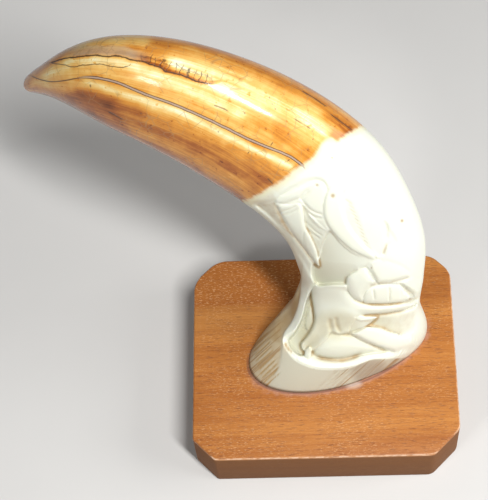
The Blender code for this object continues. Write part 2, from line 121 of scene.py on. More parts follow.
# Outlines of the carved forms on the sheet
drawn = {
    "upperGround": ((-27.5, 50.3), (-23.1, 51.1), (-20.3, 51.9), (-17.5, 53.9), (-13.8, 56.2),
                    (-9.4, 58.1), (-5.6, 57.8), (-3.8, 54.7), (-3.8, 49.7), (-2.5, 43.4), (1.6, 38.4),
                    (5.6, 35.6), (8.8, 33.8), (9.7, 31.6), (10.6, 28.8), (12.2, 26.7), (16.2, 26.4),
                    (19.7, 27.2), (22.5, 27.8), (19.7, 25.5), (21.6, 23.8), (23.8, 21.2), (16.2, 22.2),
                    (1.6, 23.8), (-7.2, 25.6), (-11.6, 32.2), (-16.2, 39.1), (-21.2, 45)),
    "lowerGround": ((-7.5, 26.6), (-9.7, 24.1), (-10.6, 19.4), (-12.2, 14.7), (-14.4, 10.9),
                    (-17.8, 8.3), (-16.6, 4.4), (-12.2, 1.2), (-7.2, -0.6), (-0.9, -0.9), (3.8, -0.3),
                    (7.5, 0.9), (10.3, 2), (15.3, 2.2), (18.4, 3.4), (21.2, 9.4), (22.5, 14.7),
                    (25, 18.4), (26.2, 20.9), (23.1, 23.4), (15.6, 25.9), (6.2, 27.8), (-3.1, 27.8)),
    "pit": ((-7.8, 25.3), (-9.1, 22.8), (-10.5, 19.4), (-11.7, 14.7), (-13.9, 10.3), (-15.9, 7.8),
            (-15.2, 5.3), (-12.5, 3.1), (-9.7, 4.1), (-8.1, 7.5), (-7.2, 11.6), (-7.5, 16.6),
            (-8.1, 20.9)),
    "pitShelf": ((-9.1, 18.4), (-10.2, 15.9), (-10.9, 12.5), (-9.7, 10.6), (-8.4, 12.2), (-8.3, 15.9)),
    "throat": ((-8.4, 31.2), (-6.2, 32.5), (-1.9, 32.3), (1.9, 31.7), (5, 30.3), (5, 25.3), (1.9, 25.2),
               (-2.5, 25.2), (-6.9, 25.1), (-8.4, 27.8)),
    "belly": ((-8.4, 3.4), (-9.1, 6.2), (-5.6, 8.3), (-2.5, 9.5), (3.1, 9.5), (8.1, 7.5), (12.5, 5.3),
              (14.4, 4.1), (9.4, 3.4), (3.8, 2.5), (-1.6, 1.9), (-5.9, 2)),
    "bodyForm": ((-7.7, 25.2), (-3.1, 25.4), (1.9, 25.3), (2.5, 22.8), (5, 20.3), (10, 18.8),
                 (15.6, 18.8), (20, 19.2), (24.1, 18.9), (20, 17.2), (15.6, 16.4), (11.9, 15.9),
                 (6.2, 15.3), (3.8, 12.8), (2.5, 10), (-0.6, 9.5), (-2.8, 10.3), (-4.4, 7.8),
                 (-8.8, 4.4), (-11.4, 4.4), (-12.2, 6.6), (-10, 9.7), (-8.2, 13.4), (-8.2, 17.2),
                 (-8.9, 20.9), (-8.8, 23.8)),
    "bodyShade": ((-5.6, 15.3), (-1.2, 16.2), (3.1, 16.2), (5.6, 15), (3.8, 11.9), (1.2, 10.3),
                  (-0.9, 10.6), (-3.1, 10.3), (-5.3, 7.5), (-8.8, 5), (-11.2, 4.7), (-11.2, 6.9),
                  (-8.8, 10), (-7.5, 12.8)),
    "clawTop": ((5.3, 15.3), (11.6, 15.1), (9.7, 14.1), (6.6, 13.8), (5, 14.4)),
    "clawFace": ((5.3, 14.2), (8.1, 13.8), (11.4, 14.8), (8.1, 12), (5.3, 11.2), (3.3, 10.6),
                 (3.4, 12.2)),
    "limb": ((3.6, 9.8), (5.9, 11.1), (8.1, 12), (12.5, 11.5), (15.6, 10.3), (19.1, 9.4), (23.1, 8.4),
             (23.1, 5.3), (18.1, 3.9), (14.7, 4.7), (11.2, 5.9), (7.2, 7.3), (4.7, 8.6)),
    "limbHollow": ((8.1, 12.2), (11.6, 15), (15.6, 15.6), (20, 16.2), (23.8, 16.6), (24.4, 13.4),
                   (22.2, 10), (18.8, 9.4), (15, 10.3), (11.9, 11.4)),
    "flank": ((20, 15.9), (22.5, 17.5), (24.7, 18.8), (26.2, 20.3), (30.6, 20.3), (30.6, 7.8),
              (25, -0.3), (20, 4.1), (20.6, 7.8), (21.2, 11.6)),
    "post": ((-10.9, 4.7), (-9.7, 5.8), (-8.9, 4.8), (-9.1, 2.5), (-9.8, 1.6), (-11.1, 2.5)),
    "leftWall": ((-12, 27.8), (-12.2, 24.7), (-12.7, 20.9), (-13.6, 17.2), (-15.2, 13.4), (-17.5, 10),
                 (-18, 7.5), (-18.3, 4.1), (-18.9, 0.3), (-21.2, -4.7), (-24.4, -8.4), (-32.5, -5.9),
                 (-32.5, 4.7), (-23.1, 16.6), (-15, 26.6)),
    "cheek": ((-3.4, 41.9), (0.3, 37.8), (4.4, 34.7), (8.4, 33.4), (11.6, 33), (9.4, 31.4), (5.6, 30),
              (2.2, 28.4), (-0.6, 30.6), (-6.6, 30.6), (-6.2, 34.1), (-5.3, 38.1)),
    "darkFacet": ((-11.6, 49.7), (-9.7, 46.6), (-6.9, 43.4), (-3.8, 41.2), (-5.3, 38.4), (-6.2, 34.7),
                  (-7.2, 33.4), (-9.4, 39.1), (-11.6, 44.7)),
    "lid": ((-11.6, 50.6), (-12.5, 52.8), (-9.7, 55.3), (-6.2, 57.2), (-4.1, 54.7), (-4.8, 50.9),
            (-4.7, 47.2), (-3.8, 43.4), (-3.4, 41.6), (-6.2, 44.1), (-9.4, 47.2)),
    "brow": ((-20, 51.9), (-15.9, 53.8), (-11.2, 55.9), (-7.2, 57.5), (-7.5, 55), (-10.9, 53.1),
             (-15, 51.4), (-19.1, 49.7)),
    "horn": ((-20, 50.6), (-16.2, 50.3), (-12.5, 50.6), (-11.4, 47.8), (-10.8, 43.4), (-8.9, 39.4),
             (-7.3, 35.6), (-6.9, 32.8), (-6.5, 30.8), (-8.4, 32.5), (-11.6, 36.6), (-14.7, 40.6),
             (-17.8, 45.6), (-19.7, 48.8)),
    "hornTip": ((-10.9, 42.2), (-8.9, 39.1), (-7.3, 35.3), (-6.6, 31.2), (-8.1, 32.5), (-10.3, 35.6),
                (-11.6, 39.1)),
    "stripShade": ((-25.9, 49.8), (-23.1, 50.3), (-20.2, 50.8), (-19.4, 48.4), (-17.5, 44.7),
                   (-15.3, 40.9), (-16.9, 41.9), (-19.7, 44.4), (-22.8, 47.2)),
    "paw": ((2.5, 27.8), (5, 29.4), (7.8, 30.6), (9.7, 29.1), (11.6, 25.9), (11.9, 24.8), (9.4, 23.8),
            (7.7, 21.6), (7.2, 19.7), (5, 20.2), (3.3, 21.6), (2.1, 24.1), (1.9, 26.2)),
    "knee": ((9.5, 30.9), (11.2, 32.5), (15.6, 32.2), (20, 30.3), (22.8, 27.5), (20, 26.7),
             (16.9, 25.9), (12.2, 25.6), (10.6, 28.1)),
    "toes": ((7.5, 19.5), (7.7, 22.2), (9.4, 23.9), (12.5, 25), (16.2, 25.3), (18.8, 25), (20.6, 23.4),
             (21.9, 21.2), (20, 19.8), (15.6, 19.2), (11.2, 19.1)),
    "toeWedge": ((18.4, 25.5), (20.3, 24.4), (22.2, 23), (23.3, 21.6), (22.2, 20.8), (20.9, 22.2),
                 (19.4, 24.1)),
    "earRim": ((-2.8, 56.6), (-4.5, 52.8), (-5.1, 49.1), (-4.7, 45.6), (-2.8, 42.2), (0.3, 38.8),
               (3.8, 35.9), (7.5, 34.1), (10.6, 33.3), (13, 33.1), (10.6, 35), (7.2, 38.1), (3.8, 42.2),
               (1.6, 47.2), (0.9, 51.9), (1.9, 55.9), (0, 58.4)),
    "earHollow": ((1.9, 54.7), (1.1, 50.9), (1.7, 47.2), (3.6, 42.8), (6.6, 39.1), (9.7, 35.8),
                  (12.5, 33.6), (13.9, 35.9), (14.4, 39.7), (14.4, 45.3), (13.1, 50.3), (9.4, 54.7),
                  (5, 56.6)),
    "earBand": ((0.9, 53.4), (1, 49.4), (1.6, 45.9), (2.8, 43), (5.5, 39.4), (8.1, 36.7), (11.2, 33.9),
                (9.1, 38.1), (8, 41.2), (7, 45), (5.8, 49.4), (3.8, 53.1), (2.2, 54.4)),
    "earPatch": ((13.8, 44.7), (15.9, 41.9), (17.8, 38.8), (16.9, 37.2), (15, 37.2), (13.9, 40.3)),
}

# Lines of the carving: path, half width and depth; each cut gathers dirt and painted shade. A stain is
# hardly cut, and its last value is its dirt.
creases = {
    "strip": (((-20, 50.3), (-18.4, 46.2), (-16.2, 42.3), (-12.8, 38), (-9.7, 33.8),
               (-7.2, 30.3)), 0.55, 0.75),
    "groundEdge": (((-26.2, 50.2), (-23.1, 50.9), (-20.3, 51.7), (-17.5, 53.6),
                    (-13.4, 56.2)), 0.35, 0.25),
    "browFold": (((-19.7, 49.7), (-15.6, 51.2), (-11.6, 52.8), (-9.1, 54.7)), 0.45, 0.35),
    "hornWrinkleA": (((-19.1, 47.7), (-16.2, 48.6), (-13.3, 50)), 0.34, 0.5),
    "hornWrinkleB": (((-18.3, 46.6), (-15.6, 47.5), (-12.7, 49.1)), 0.34, 0.45),
    "lidWrinkleA": (((-11.4, 50.9), (-9.7, 48.9), (-7.8, 47.7), (-5.2, 46.9)), 0.36, 0.5),
    "lidWrinkleB": (((-11.7, 49.8), (-10, 47.7), (-7.8, 46.2), (-5.3, 45.8)), 0.36, 0.5),
    "facetLineA": (((-11.4, 45.5), (-9.4, 43.3), (-7.2, 41.4), (-5, 40)), 0.33, 0.34),
    "facetLineB": (((-11.2, 43.8), (-9.4, 41.7), (-7.5, 40.2), (-5.8, 39.1)), 0.33, 0.34),
    "facetLineC": (((-7.5, 37.2), (-6.2, 36.2)), 0.3, 0.22),
    "cheekEdge": (((-3.1, 41.6), (-4.4, 40), (-5.5, 38.1), (-6.2, 35.3)), 0.38, 0.4),
    "pawBend": (((3.1, 28.8), (5.6, 29.8), (9.4, 31.4)), 0.45, 0.3),
    "pawLineA": (((8.4, 29.4), (9.7, 27.7), (11.2, 25.9)), 0.34, 0.4),
    "pawLineB": (((9.4, 29.8), (10.8, 28), (12.2, 26.2)), 0.32, 0.3),
    "toeTop": (((8.8, 24.4), (11.2, 25.3), (14.7, 25.6), (17.5, 26.2), (20.3, 27),
                (21.9, 27.5)), 0.55, 0.65),
    "toeSplitA": (((10.2, 23.8), (10.6, 22.2), (10.9, 20)), 0.34, 0.45),
    "toeSplitB": (((15.2, 24.8), (15.5, 22.5), (15.4, 19.5)), 0.34, 0.5),
    "toeSplitC": (((18.9, 24.4), (19.2, 22.5), (18.9, 20.3)), 0.34, 0.3),
    "toesUnder": (((3.8, 20.6), (7.2, 19.2), (11.2, 18.8), (15.6, 18.9), (19.4, 19.5)), 0.5, 0.6),
    "bandUnder": (((6.9, 15.3), (11.9, 15.7), (15.9, 16.1), (20, 16.9), (23.8, 18.3)), 0.5, 0.6),
    "bodyFoldA": (((-2.8, 14.8), (-3.2, 13.4), (-2.8, 11.9), (-2.6, 10.2)), 0.75, 0.5),
    "bodyFoldB": (((-1.3, 15.3), (-1.1, 13.4), (-0.6, 11.6), (0.3, 9.8)), 0.7, 0.5),
    "wedgeStain": (((20, 24.4), (21.2, 23.1), (22.5, 21.6)), 0.7, 0.13, 3.0),
    "cornerStain": (((-17.5, 7.5), (-16.7, 5), (-14.7, 3.1)), 1.0, 0.13, 3.0),
    "gumEdgeStain": (((-28.8, 50.3), (-24.4, 51.6), (-20, 53.1)), 1.3, 0.12, 3.0),
    "clawUnder": (((11.4, 14.5), (8.1, 11.9), (3.9, 9.8)), 0.34, 0.5),
    "limbUnder": (((0.3, 9.5), (3.8, 9.2), (7.2, 7.7), (10.9, 5.8), (14.4, 4.2)), 0.5, 0.5),
    "earBack": (((14.5, 44.7), (14.9, 41.6), (14.8, 39.1)), 0.45, 0.3),
    "earCrevice": (((14.5, 38.4), (14.4, 37.2), (13.8, 35.6), (13.3, 33.9)), 0.55, 0.8),
    "earTipCut": (((10, 34.1), (11.6, 33.3), (13.3, 33.1)), 0.35, 0.4),
    "ledgeSeam": (((-8.9, 4.7), (-7.2, 2.7), (-3.1, 1.7), (0.9, 1.6), (4.1, 2.5),
                   (7.2, 3.8)), 0.65, 0.6),
    "seamStain": (((-7.5, 2.5), (-3.1, 1.4), (1.6, 1.4), (6.2, 3.1)), 1.2, 0.12, 3.0),
    "bodyLeft": (((-9.5, 23.4), (-9, 21.2), (-8.7, 16.9), (-8.2, 13.8), (-9.4, 10.3),
                  (-12.3, 6.9)), 0.5, 0.45),
    "wallShade": (((-12.7, 24.1), (-13.4, 20.6), (-14.8, 17.2), (-16.9, 13.8), (-19.4, 10.3),
                   (-21.2, 7.2)), 1.9, 0.5),
    "wallCorner": (((-17, 7.5), (-16.4, 5.6), (-15.3, 4.1)), 0.8, 0.3),
    "spurEdge": (((-11.6, 22.8), (-9.7, 24.4), (-7.5, 26.1)), 0.3, 0.2),
}

# Rows of fine strokes: where the first and the last begin, and how each runs
hatches = {
    "pitHatch": {"from": (-11.7, 14.8), "to": (-12.7, 10.5), "stroke": (2.2, 1.1),
                 "count": 6, "halfWidth": 0.2, "depth": 0.28, "dirtAndShade": 0.4},
    "cornerHatch": {"from": (-17.2, 7.2), "to": (-13.8, 3.1), "stroke": (0.5, -2),
                    "count": 5, "halfWidth": 0.3, "depth": 0.25, "dirtAndShade": 1.6},
    "earHatch": {"from": (1.4, 51.9), "to": (7.2, 38.1), "stroke": (2.7, -2),
                 "count": 11, "halfWidth": 0.24, "depth": 0.22, "dirtAndShade": 1.2},
    "leftStriae": {"from": (-27.8, 5.3), "to": (-23.8, -7.2), "stroke": (5.3, 5),
                   "count": 10, "halfWidth": 0.2, "depth": 0.26, "dirtAndShade": 3.0},
    "rightStriae": {"from": (-8.4, -8.8), "to": (11.2, -5.3), "stroke": (8.4, 7.5),
                    "count": 10, "halfWidth": 0.36, "depth": 0.3, "dirtAndShade": 0.9},
}

# Small brown pits: place and half width
pits = (((-7.2, 56.2), 0.5), ((-2.3, 52.8), 0.75), ((19.4, 45), 0.6), ((-2.5, 64.7), 0.35),
        ((9.8, 30.3), 0.3))

# Marks on the stained half and at the gum line
markings = {
    "gumLine": ((10, 75.9), (7.2, 74.2), (5, 72.8), (2.3, 70.9), (-0.9, 69.2), (-2.8, 69.7),
                (-4.2, 69.7), (-5.3, 68.4), (-6.2, 66.9), (-7.8, 64.7), (-10, 62.5), (-13.1, 60.9),
                (-15, 59.1), (-17.5, 57.2), (-20.9, 55.1), (-24.4, 52.9), (-27.5, 51.2), (-30.6, 50.2),
                (-33.8, 49.4)),
    "groove": ((-95.8, 90), (-93.4, 89.1), (-90.2, 88.5), (-86.4, 88.8), (-83.1, 89.4), (-79.7, 89.9),
               (-76.2, 89.7), (-72.9, 89.1), (-69.5, 88.2), (-66.1, 86.8), (-62.7, 85.3), (-59.4, 84),
               (-55.9, 82.8), (-52.5, 81.6), (-49.1, 80.2), (-42.5, 77.3), (-34.8, 73.6), (-28.8, 70.6),
               (-23.4, 68.3), (-19.7, 66.9), (-15.9, 65.2), (-13.1, 63.4), (-11.2, 61.7), (-10, 59.7)),
    "crack": ((-90.2, 94.4), (-88.1, 95.2), (-85.4, 95.9), (-82.4, 96.2), (-79.7, 96.6), (-76.3, 96.7),
              (-72.9, 96.4), (-69.5, 96.5), (-67.5, 96.2), (-66.1, 95.5), (-63.4, 95), (-61, 94.6),
              (-58.7, 93.6), (-55.9, 92.9), (-54.6, 91.8), (-52.6, 91.2), (-50.2, 90.7), (-48.1, 90),
              (-45.6, 88.8), (-43.1, 88.3), (-40.6, 87.8), (-38.1, 88.1)),
    "thinCrack": ((-90.2, 94.3), (-86.4, 93.8), (-84.7, 93.3), (-83.1, 93.1), (-81, 93.6),
                  (-78.3, 93.8), (-75.3, 94), (-71.9, 93.4), (-68.5, 92.9), (-66.6, 93.3)),
}

# Left of this line and below it lies the plain wall under the carving
wallLine = ((-11.6, 30.3), (-12, 25.3), (-12.6, 20.9), (-13.5, 17.2), (-15.1, 13.4), (-17.3, 10),
            (-17.8, 7.2), (-16.2, 3.8), (-14.1, 1.4), (-10.9, -0.3), (-6.9, -1.4), (-0.6, -1.5),
            (3.8, -0.8), (6.9, 0.6), (10.3, 1.7), (15.3, 2), (21.9, 2.8), (31.2, 7.8))

shortCracks = (
    ((-20.8, 74.4), (-20.7, 72.5), (-21.2, 69.4), (-21.9, 67.5)),
    ((-28.4, 67.2), (-28.9, 65.3), (-29.8, 63.4)),
    ((-15.9, 64.1), (-18.1, 62.7), (-20.5, 60.7)),
    ((-22.3, 84.2), (-21.2, 81.6), (-19.7, 79.3)),
    ((-8.8, 73.6), (-8.4, 72.2), (-8.5, 70.2)),
    ((-22.8, 58.4), (-21.9, 57.5), (-21.1, 56.6)),
    ((-14.4, 77), (-12.2, 75.6), (-9.5, 74)),
    ((-72.5, 79.1), (-70.3, 78), (-67.5, 76.4)),
    ((-64.4, 78.1), (-62.8, 78.3), (-61.2, 79.2)),
    ((-60, 74.7), (-58.4, 73.1)),
    ((-38.6, 74.4), (-38.1, 73.1), (-37.5, 71.6)),
    ((-66.1, 95.5), (-66.2, 94.4), (-66.6, 93.1)),
    ((-3.1, 78.5), (0, 76.2), (3.8, 73.4)),
    ((-12.5, 85.9), (-8.8, 83.8), (-4.4, 80.9)),
    ((-38.8, 83.1), (-39.4, 81.2), (-36.9, 80.3), (-35, 79.1)),
    ((-31.9, 80.9), (-30, 79.1), (-29.4, 77.2)),
    ((-78.4, 87.8), (-77.5, 86.2), (-77.8, 85.6)),
    ((-47.8, 86.6), (-45, 86.2), (-43.8, 87.7)),
)

# Bands of colour on the stained half: path, half width in millimetres, tone from pale to dark, strength
toneBands = {
    "topEdge": (((-73.8, 103.1), (-59.4, 102.5), (-43.8, 100.3), (-28.1, 95.3), (-12.5, 88.4),
                 (1.6, 79.7)), 1.8, 0.5, 0.8),
    "topStreak": (((-59.4, 100.9), (-48.4, 100.3), (-38.6, 98.4), (-31.1, 94.7), (-23.5, 90.9),
                   (-15.9, 87.2), (-8.4, 83.1), (-4.4, 80.3)), 1.5, 0.62, 0.9),
    "orangeStreak": (((-62.5, 99.4), (-56.2, 98.3), (-50, 96.9), (-42.5, 94.8), (-34.8, 92.3),
                      (-27.3, 89.7), (-21.2, 87.2)), 1.2, 0.52, 0.95),
    "tipTop": (((-88.1, 96.9), (-82.5, 99.4), (-75, 100.9), (-67.2, 101.2),
                (-60.9, 100.9)), 2.0, 0.22, 0.85),
    "paleBand": (((-84.4, 95), (-71.9, 95), (-62.5, 92.8), (-54.7, 89.4), (-46.9, 85.3), (-39.1, 81.6),
                  (-31.2, 78.4)), 2.6, 0.05, 0.85),
    # Partly painted highlight: pale stain pushed to the palest tone along the highlight
    "paleMiddleHighlight": (((-52.5, 94.7), (-46.9, 92), (-42.8, 90.3), (-38.1, 88.1),
                    (-33.8, 85.9)), 1.7, -0.08, 0.9),
    "goldBand": (((-46.9, 92.8), (-37.5, 89.1), (-28.1, 85.3), (-18.8, 80.9), (-10.9, 76.6),
                  (-6.9, 72.8)), 4.4, 0.12, 0.9),
    "sunken": (((-81.9, 97.2), (-76.2, 98.4), (-71.2, 98.4), (-66.2, 97.8),
                (-61.9, 96.2)), 1.8, 0.62, 0.5),
    "amberBand": (((-71.9, 90.9), (-62.5, 87.8), (-54.7, 84.4), (-46.9, 81.2), (-39.1, 77.5),
                   (-31.2, 74.1), (-22.5, 70), (-15, 66.2)), 2.0, 0.36, 0.85),
    "tipPale": (((-92.2, 90.6), (-88.8, 91.9), (-85.6, 92.5)), 1.7, 0.1, 0.8),
    "tipBelow": (((-95.6, 88.4), (-90.6, 86.9), (-85, 86.9), (-79.7, 87.2)), 1.8, 0.2, 0.9),
    "goldTip": (((-86.2, 90.6), (-79.7, 91.9), (-72.5, 91.9)), 1.6, 0.28, 0.8),
    "belowGroove": (((-78.8, 88.1), (-73.8, 86.6), (-69.4, 85), (-62.8, 83), (-55.9, 80.6),
                     (-49.1, 78.3), (-42.5, 75.2), (-35, 71.2), (-27.5, 67.3), (-20.6, 64.7),
                     (-15.6, 62.2)), 1.35, 0.06, 0.95),
    "lowerHalf": (((-87.5, 83.4), (-78.1, 80.9), (-68.8, 76.9), (-59.4, 73.1), (-50, 68.8),
                   (-40.6, 64.4), (-31.2, 60), (-24.4, 57.2)), 3.6, 0.73, 0.9),
    "lowerPale": (((-65.6, 74.1), (-56.2, 70), (-46.9, 65.3), (-37.5, 60.6),
                   (-29.7, 56.6)), 0.9, 0.45, 0.6),
    "lowerEdge": (((-95, 85.3), (-87.5, 82.8), (-76.2, 76.9), (-65, 70.3), (-53.8, 64.7), (-42.5, 58.4),
                   (-31.2, 51.6)), 1.6, 0.84, 0.85),
    "tipMottle": (((-95, 86.6), (-91.2, 85.3), (-86.9, 84.7)), 1.2, 0.62, 0.75),
    "redPatch": (((-81.9, 84.1), (-77.5, 83.1), (-73.8, 81.6), (-71.2, 80.9)), 2.2, 0.9, 0.95),
    "redTwo": (((-70, 80.9), (-66.2, 80), (-61.9, 78.8)), 1.6, 0.72, 0.8),
    "gumPatch": (((-3.8, 77.5), (-0.6, 75.6), (2.5, 73.1)), 2.0, 0.7, 0.9),
    "gumPatchEdge": (((-1.9, 72.2), (0.6, 71.2), (3.1, 72.5)), 1.2, 0.74, 0.8),
    "gumDark": (((-10, 67.2), (-12.5, 65), (-15, 66.6)), 1.6, 0.5, 0.6),
    "tipEnd": (((-98.1, 87.2), (-96.9, 90.9), (-93.1, 94.1), (-88.8, 96.6),
                (-84.4, 98.4)), 1.8, 0.66, 0.85),
}


def smoothStep(low, high, value):
    share = np.clip((value - low) / (high - low), 0.0, 1.0)
    return share * share * (3.0 - 2.0 * share)


# A curve through the stations, with the slope of its neighbours at each
def smoothValues(stations, values, at):
    stations = np.asarray(stations, float)
    values = np.asarray(values, float)
    at = np.clip(at, stations[0], stations[-1])
    slopes = np.gradient(values, stations)
    piece = np.clip(np.searchsorted(stations, at) - 1, 0, len(stations) - 2)
    span = stations[piece + 1] - stations[piece]
    t = (at - stations[piece]) / span
    start = (2 * t ** 3 - 3 * t ** 2 + 1) * values[piece]
    start = start + (t ** 3 - 2 * t ** 2 + t) * span * slopes[piece]
    end = (3 * t ** 2 - 2 * t ** 3) * values[piece + 1] + (t ** 3 - t ** 2) * span * slopes[piece + 1]
    return start + end


def smoothPath(points, steps=5, closed=True):
    points = np.asarray(points, float)
    count = len(points)
    curve = []
    for i in range(count if closed else count - 1):
        if closed:
            a, b, c, d = (points[(i + k) % count] for k in (-1, 0, 1, 2))
        else:
            a, b, c, d = (points[min(max(i + k, 0), count - 1)] for k in (-1, 0, 1, 2))
        for step in range(steps):
            t = step / steps
            curve.append(0.5 * (2 * b + (c - a) * t + (2 * a - 5 * b + 4 * c - d) * t ** 2
                                + (3 * b - a - 3 * c + d) * t ** 3))
    if not closed:
        curve.append(points[-1])
    return np.array(curve)


# Distance to a line, which side of it each place is on, and how far along it
def followPath(places, curve, closed):
    starts = curve if closed else curve[:-1]
    ends = np.roll(curve, -1, axis=0) if closed else curve[1:]
    nearest = np.full(len(places), 1e9)
    side = np.ones(len(places))
    run = np.zeros(len(places))
    travelled = 0.0
    for start, end in zip(starts, ends):
        step = end - start
        size = math.hypot(*step)
        if size < 1e-9:
            continue
        offset = places - start
        share = np.clip(offset @ step / size ** 2, 0.0, 1.0)
        away = np.hypot(*(offset - share[:, None] * step).T)
        closer = away < nearest
        nearest[closer] = away[closer]
        turn = step[0] * offset[:, 1] - step[1] * offset[:, 0]
        side[closer] = np.where(turn[closer] >= 0.0, 1.0, -1.0)
        run[closer] = travelled + share[closer] * size
        travelled += size
    return nearest, side, run


def nearTo(places, outline, margin):
    low = np.min(outline, axis=0) - margin
    high = np.max(outline, axis=0) + margin
    return np.nonzero(((places > low) & (places < high)).all(1))[0]


def depthInside(places, curve):
    inside = np.zeros(len(places), bool)
    for start, end in zip(curve, np.roll(curve, -1, axis=0)):
        if start[1] == end[1]:
            continue
        spans = (start[1] > places[:, 1]) != (end[1] > places[:, 1])
        crossing = start[0] + (places[:, 1] - start[1]) * (end[0] - start[0]) / (end[1] - start[1])
        inside ^= spans & (places[:, 0] < crossing)
    return np.where(inside, 1.0, -1.0) * followPath(places, curve, True)[0]


def followOpen(places, path):
    return followPath(places, smoothPath(path, closed=False), False)


# Lays a form over the relief: its level at the edge, rounded up by rise over reach. Dirt and painted
# shade gather along the foot of what stands up, and a tint of painted shade with some dirt lies all over
# the form.
def layForm(relief, name, level, rise=0.0, reach=1.0, edge=0.5, lean=(0.0, 0.0),
            dirtAndShade=carving["formDirtAndShade"], shadeAndDirtTint=0.0, chamfer=False, highest=math.inf):
    outline = smoothPath(drawn[name])
    near = nearTo(relief["places"], outline, 2.0 * edge + 1.0)
    places = relief["places"][near]
    inside = depthInside(places, outline)
    crown = 1.0 - np.clip(inside / reach, 0.0, 1.0)
    tilt = (places - outline.mean(axis=0)) @ np.array(lean)
    form = np.minimum(level + rise * np.sqrt(1.0 - crown * crown) + tilt, highest)
    if chamfer:
        cover = np.clip(inside / edge, 0.0, 1.0)
    else:
        cover = smoothStep(-0.5 * edge, 0.5 * edge, inside)
    below = relief["height"][near]
    relief["height"][near] = below * (1.0 - cover) + form * cover
    # Dirt and painted shade gather at the foot of each step up
    foot = np.exp(-((inside + 0.6 * edge) / carving["footWidth"]) ** 2)
    foot = foot * np.clip(form - below, 0.0, carving["highestStep"])
    relief["dirtAndShade"][near] = relief["dirtAndShade"][near] * (1.0 - cover) + dirtAndShade * foot + shadeAndDirtTint * cover


def cutLine(relief, path, halfWidth, depth, dirtAndShade=carving["creaseDirtAndShade"]):
    curve = smoothPath(path, closed=False)
    near = nearTo(relief["places"], curve, 3.0 * halfWidth)
    away, side, run = followPath(relief["places"][near], curve, False)
    ends = smoothStep(-0.2, 1.2, run) * smoothStep(-0.2, 1.2, run.max() - run) if len(near) else 1.0
    furrow = np.exp(-(away / halfWidth) ** 2) * ends
    relief["height"][near] -= depth * furrow
    # Each cut gets dirt and painted shade along its floor
    relief["dirtAndShade"][near] += dirtAndShade * depth * furrow


def hatch(relief, rows):
    first, last, stroke = (np.array(rows[key], float) for key in ("from", "to", "stroke"))
    for k in range(rows["count"]):
        start = first + (last - first) * (k / (rows["count"] - 1))
        path = (start, start + 0.5 * stroke, start + stroke)
        cutLine(relief, path, rows["halfWidth"], rows["depth"], rows["dirtAndShade"])


def carveLower(relief):
    # The tints are painted shade on forms turned from the light, with some dirt and stain
    layForm(relief, "leftWall", -0.55, edge=0.8, lean=(0.0, -0.03), dirtAndShade=0.0, shadeAndDirtTint=0.3)
    layForm(relief, "lowerGround", -3.2, edge=2.7, dirtAndShade=0.0, chamfer=True)
    layForm(relief, "pit", -4.5, edge=0.9, dirtAndShade=0.2, shadeAndDirtTint=0.12)
    layForm(relief, "pitShelf", -3.9, edge=0.8, dirtAndShade=0.1)
    layForm(relief, "flank", -0.2, edge=4.0, dirtAndShade=0.0)
    layForm(relief, "belly", -3.9, rise=1.7, reach=4.5, edge=0.6)
    layForm(relief, "limbHollow", -2.5, edge=3.0, lean=(0.24, 0.03), dirtAndShade=0.1, shadeAndDirtTint=0.3)
    layForm(relief, "limb", -2.1, rise=1.6, reach=2.2, edge=0.6, lean=(0.10, 0.0))
    layForm(relief, "bodyForm", -2.5, rise=1.7, reach=3.2, edge=0.5, lean=(0.0, -0.03))
    layForm(relief, "bodyShade", -1.85, edge=3.8, lean=(0.0, 0.26), dirtAndShade=0.0, shadeAndDirtTint=0.26)
    layForm(relief, "clawFace", -2.0, edge=0.5, lean=(0.0, 0.3), shadeAndDirtTint=0.12)
    layForm(relief, "clawTop", -1.3, edge=0.4, lean=(0.0, -0.3), dirtAndShade=0.2)
    layForm(relief, "post", -2.2, rise=0.7, reach=0.8, edge=0.4)


def carveUpper(relief):
    # The tints are painted shade on forms turned from the light, with some dirt
    layForm(relief, "upperGround", -0.9, edge=1.4, dirtAndShade=0.0)
    layForm(relief, "stripShade", -1.3, edge=1.3, lean=(0.26, 0.04), dirtAndShade=0.1, shadeAndDirtTint=0.42)
    layForm(relief, "brow", -0.6, rise=0.5, reach=1.2, edge=0.6, dirtAndShade=0.2)
    layForm(relief, "lid", -1.0, rise=0.5, reach=2.0, edge=0.6, lean=(0.10, 0.05), dirtAndShade=0.2)
    layForm(relief, "darkFacet", -2.1, edge=0.6, lean=(0.24, 0.10), dirtAndShade=0.1)
    layForm(relief, "cheek", -2.0, edge=0.5, lean=(0.16, 0.10), dirtAndShade=0.2)
    layForm(relief, "throat", -3.65, edge=1.4, lean=(0.16, 0.28), dirtAndShade=0.1, shadeAndDirtTint=0.12)
    layForm(relief, "horn", -1.7, rise=1.1, reach=1.7, edge=0.5, lean=(-0.02, 0.03))
    layForm(relief, "hornTip", -1.2, rise=0.8, reach=1.2, edge=0.6, dirtAndShade=0.3)
    layForm(relief, "knee", -0.45, rise=0.5, reach=2.6, edge=2.4, dirtAndShade=0.05)
    layForm(relief, "paw", -2.5, rise=2.1, reach=3.0, edge=0.5)
    layForm(relief, "toes", -2.1, rise=1.5, reach=2.4, edge=0.5)
    layForm(relief, "toeWedge", -2.4, edge=0.7, dirtAndShade=0.3)
    layForm(relief, "earHollow", -0.6, edge=2.2, lean=(0.09, 0.03), dirtAndShade=0.1, shadeAndDirtTint=0.03)
    layForm(relief, "earRim", -0.3, rise=0.7, reach=1.6, edge=0.5)
    layForm(relief, "earBand", -0.85, edge=1.6, lean=(0.12, 0.05), dirtAndShade=0.05, shadeAndDirtTint=0.14)
    layForm(relief, "earPatch", -0.7, edge=1.6, lean=(0.10, 0.0), dirtAndShade=0.1, shadeAndDirtTint=0.12)


def flatSheet(places):
    return {"places": places, "height": np.zeros(len(places)), "dirtAndShade": np.zeros(len(places))}


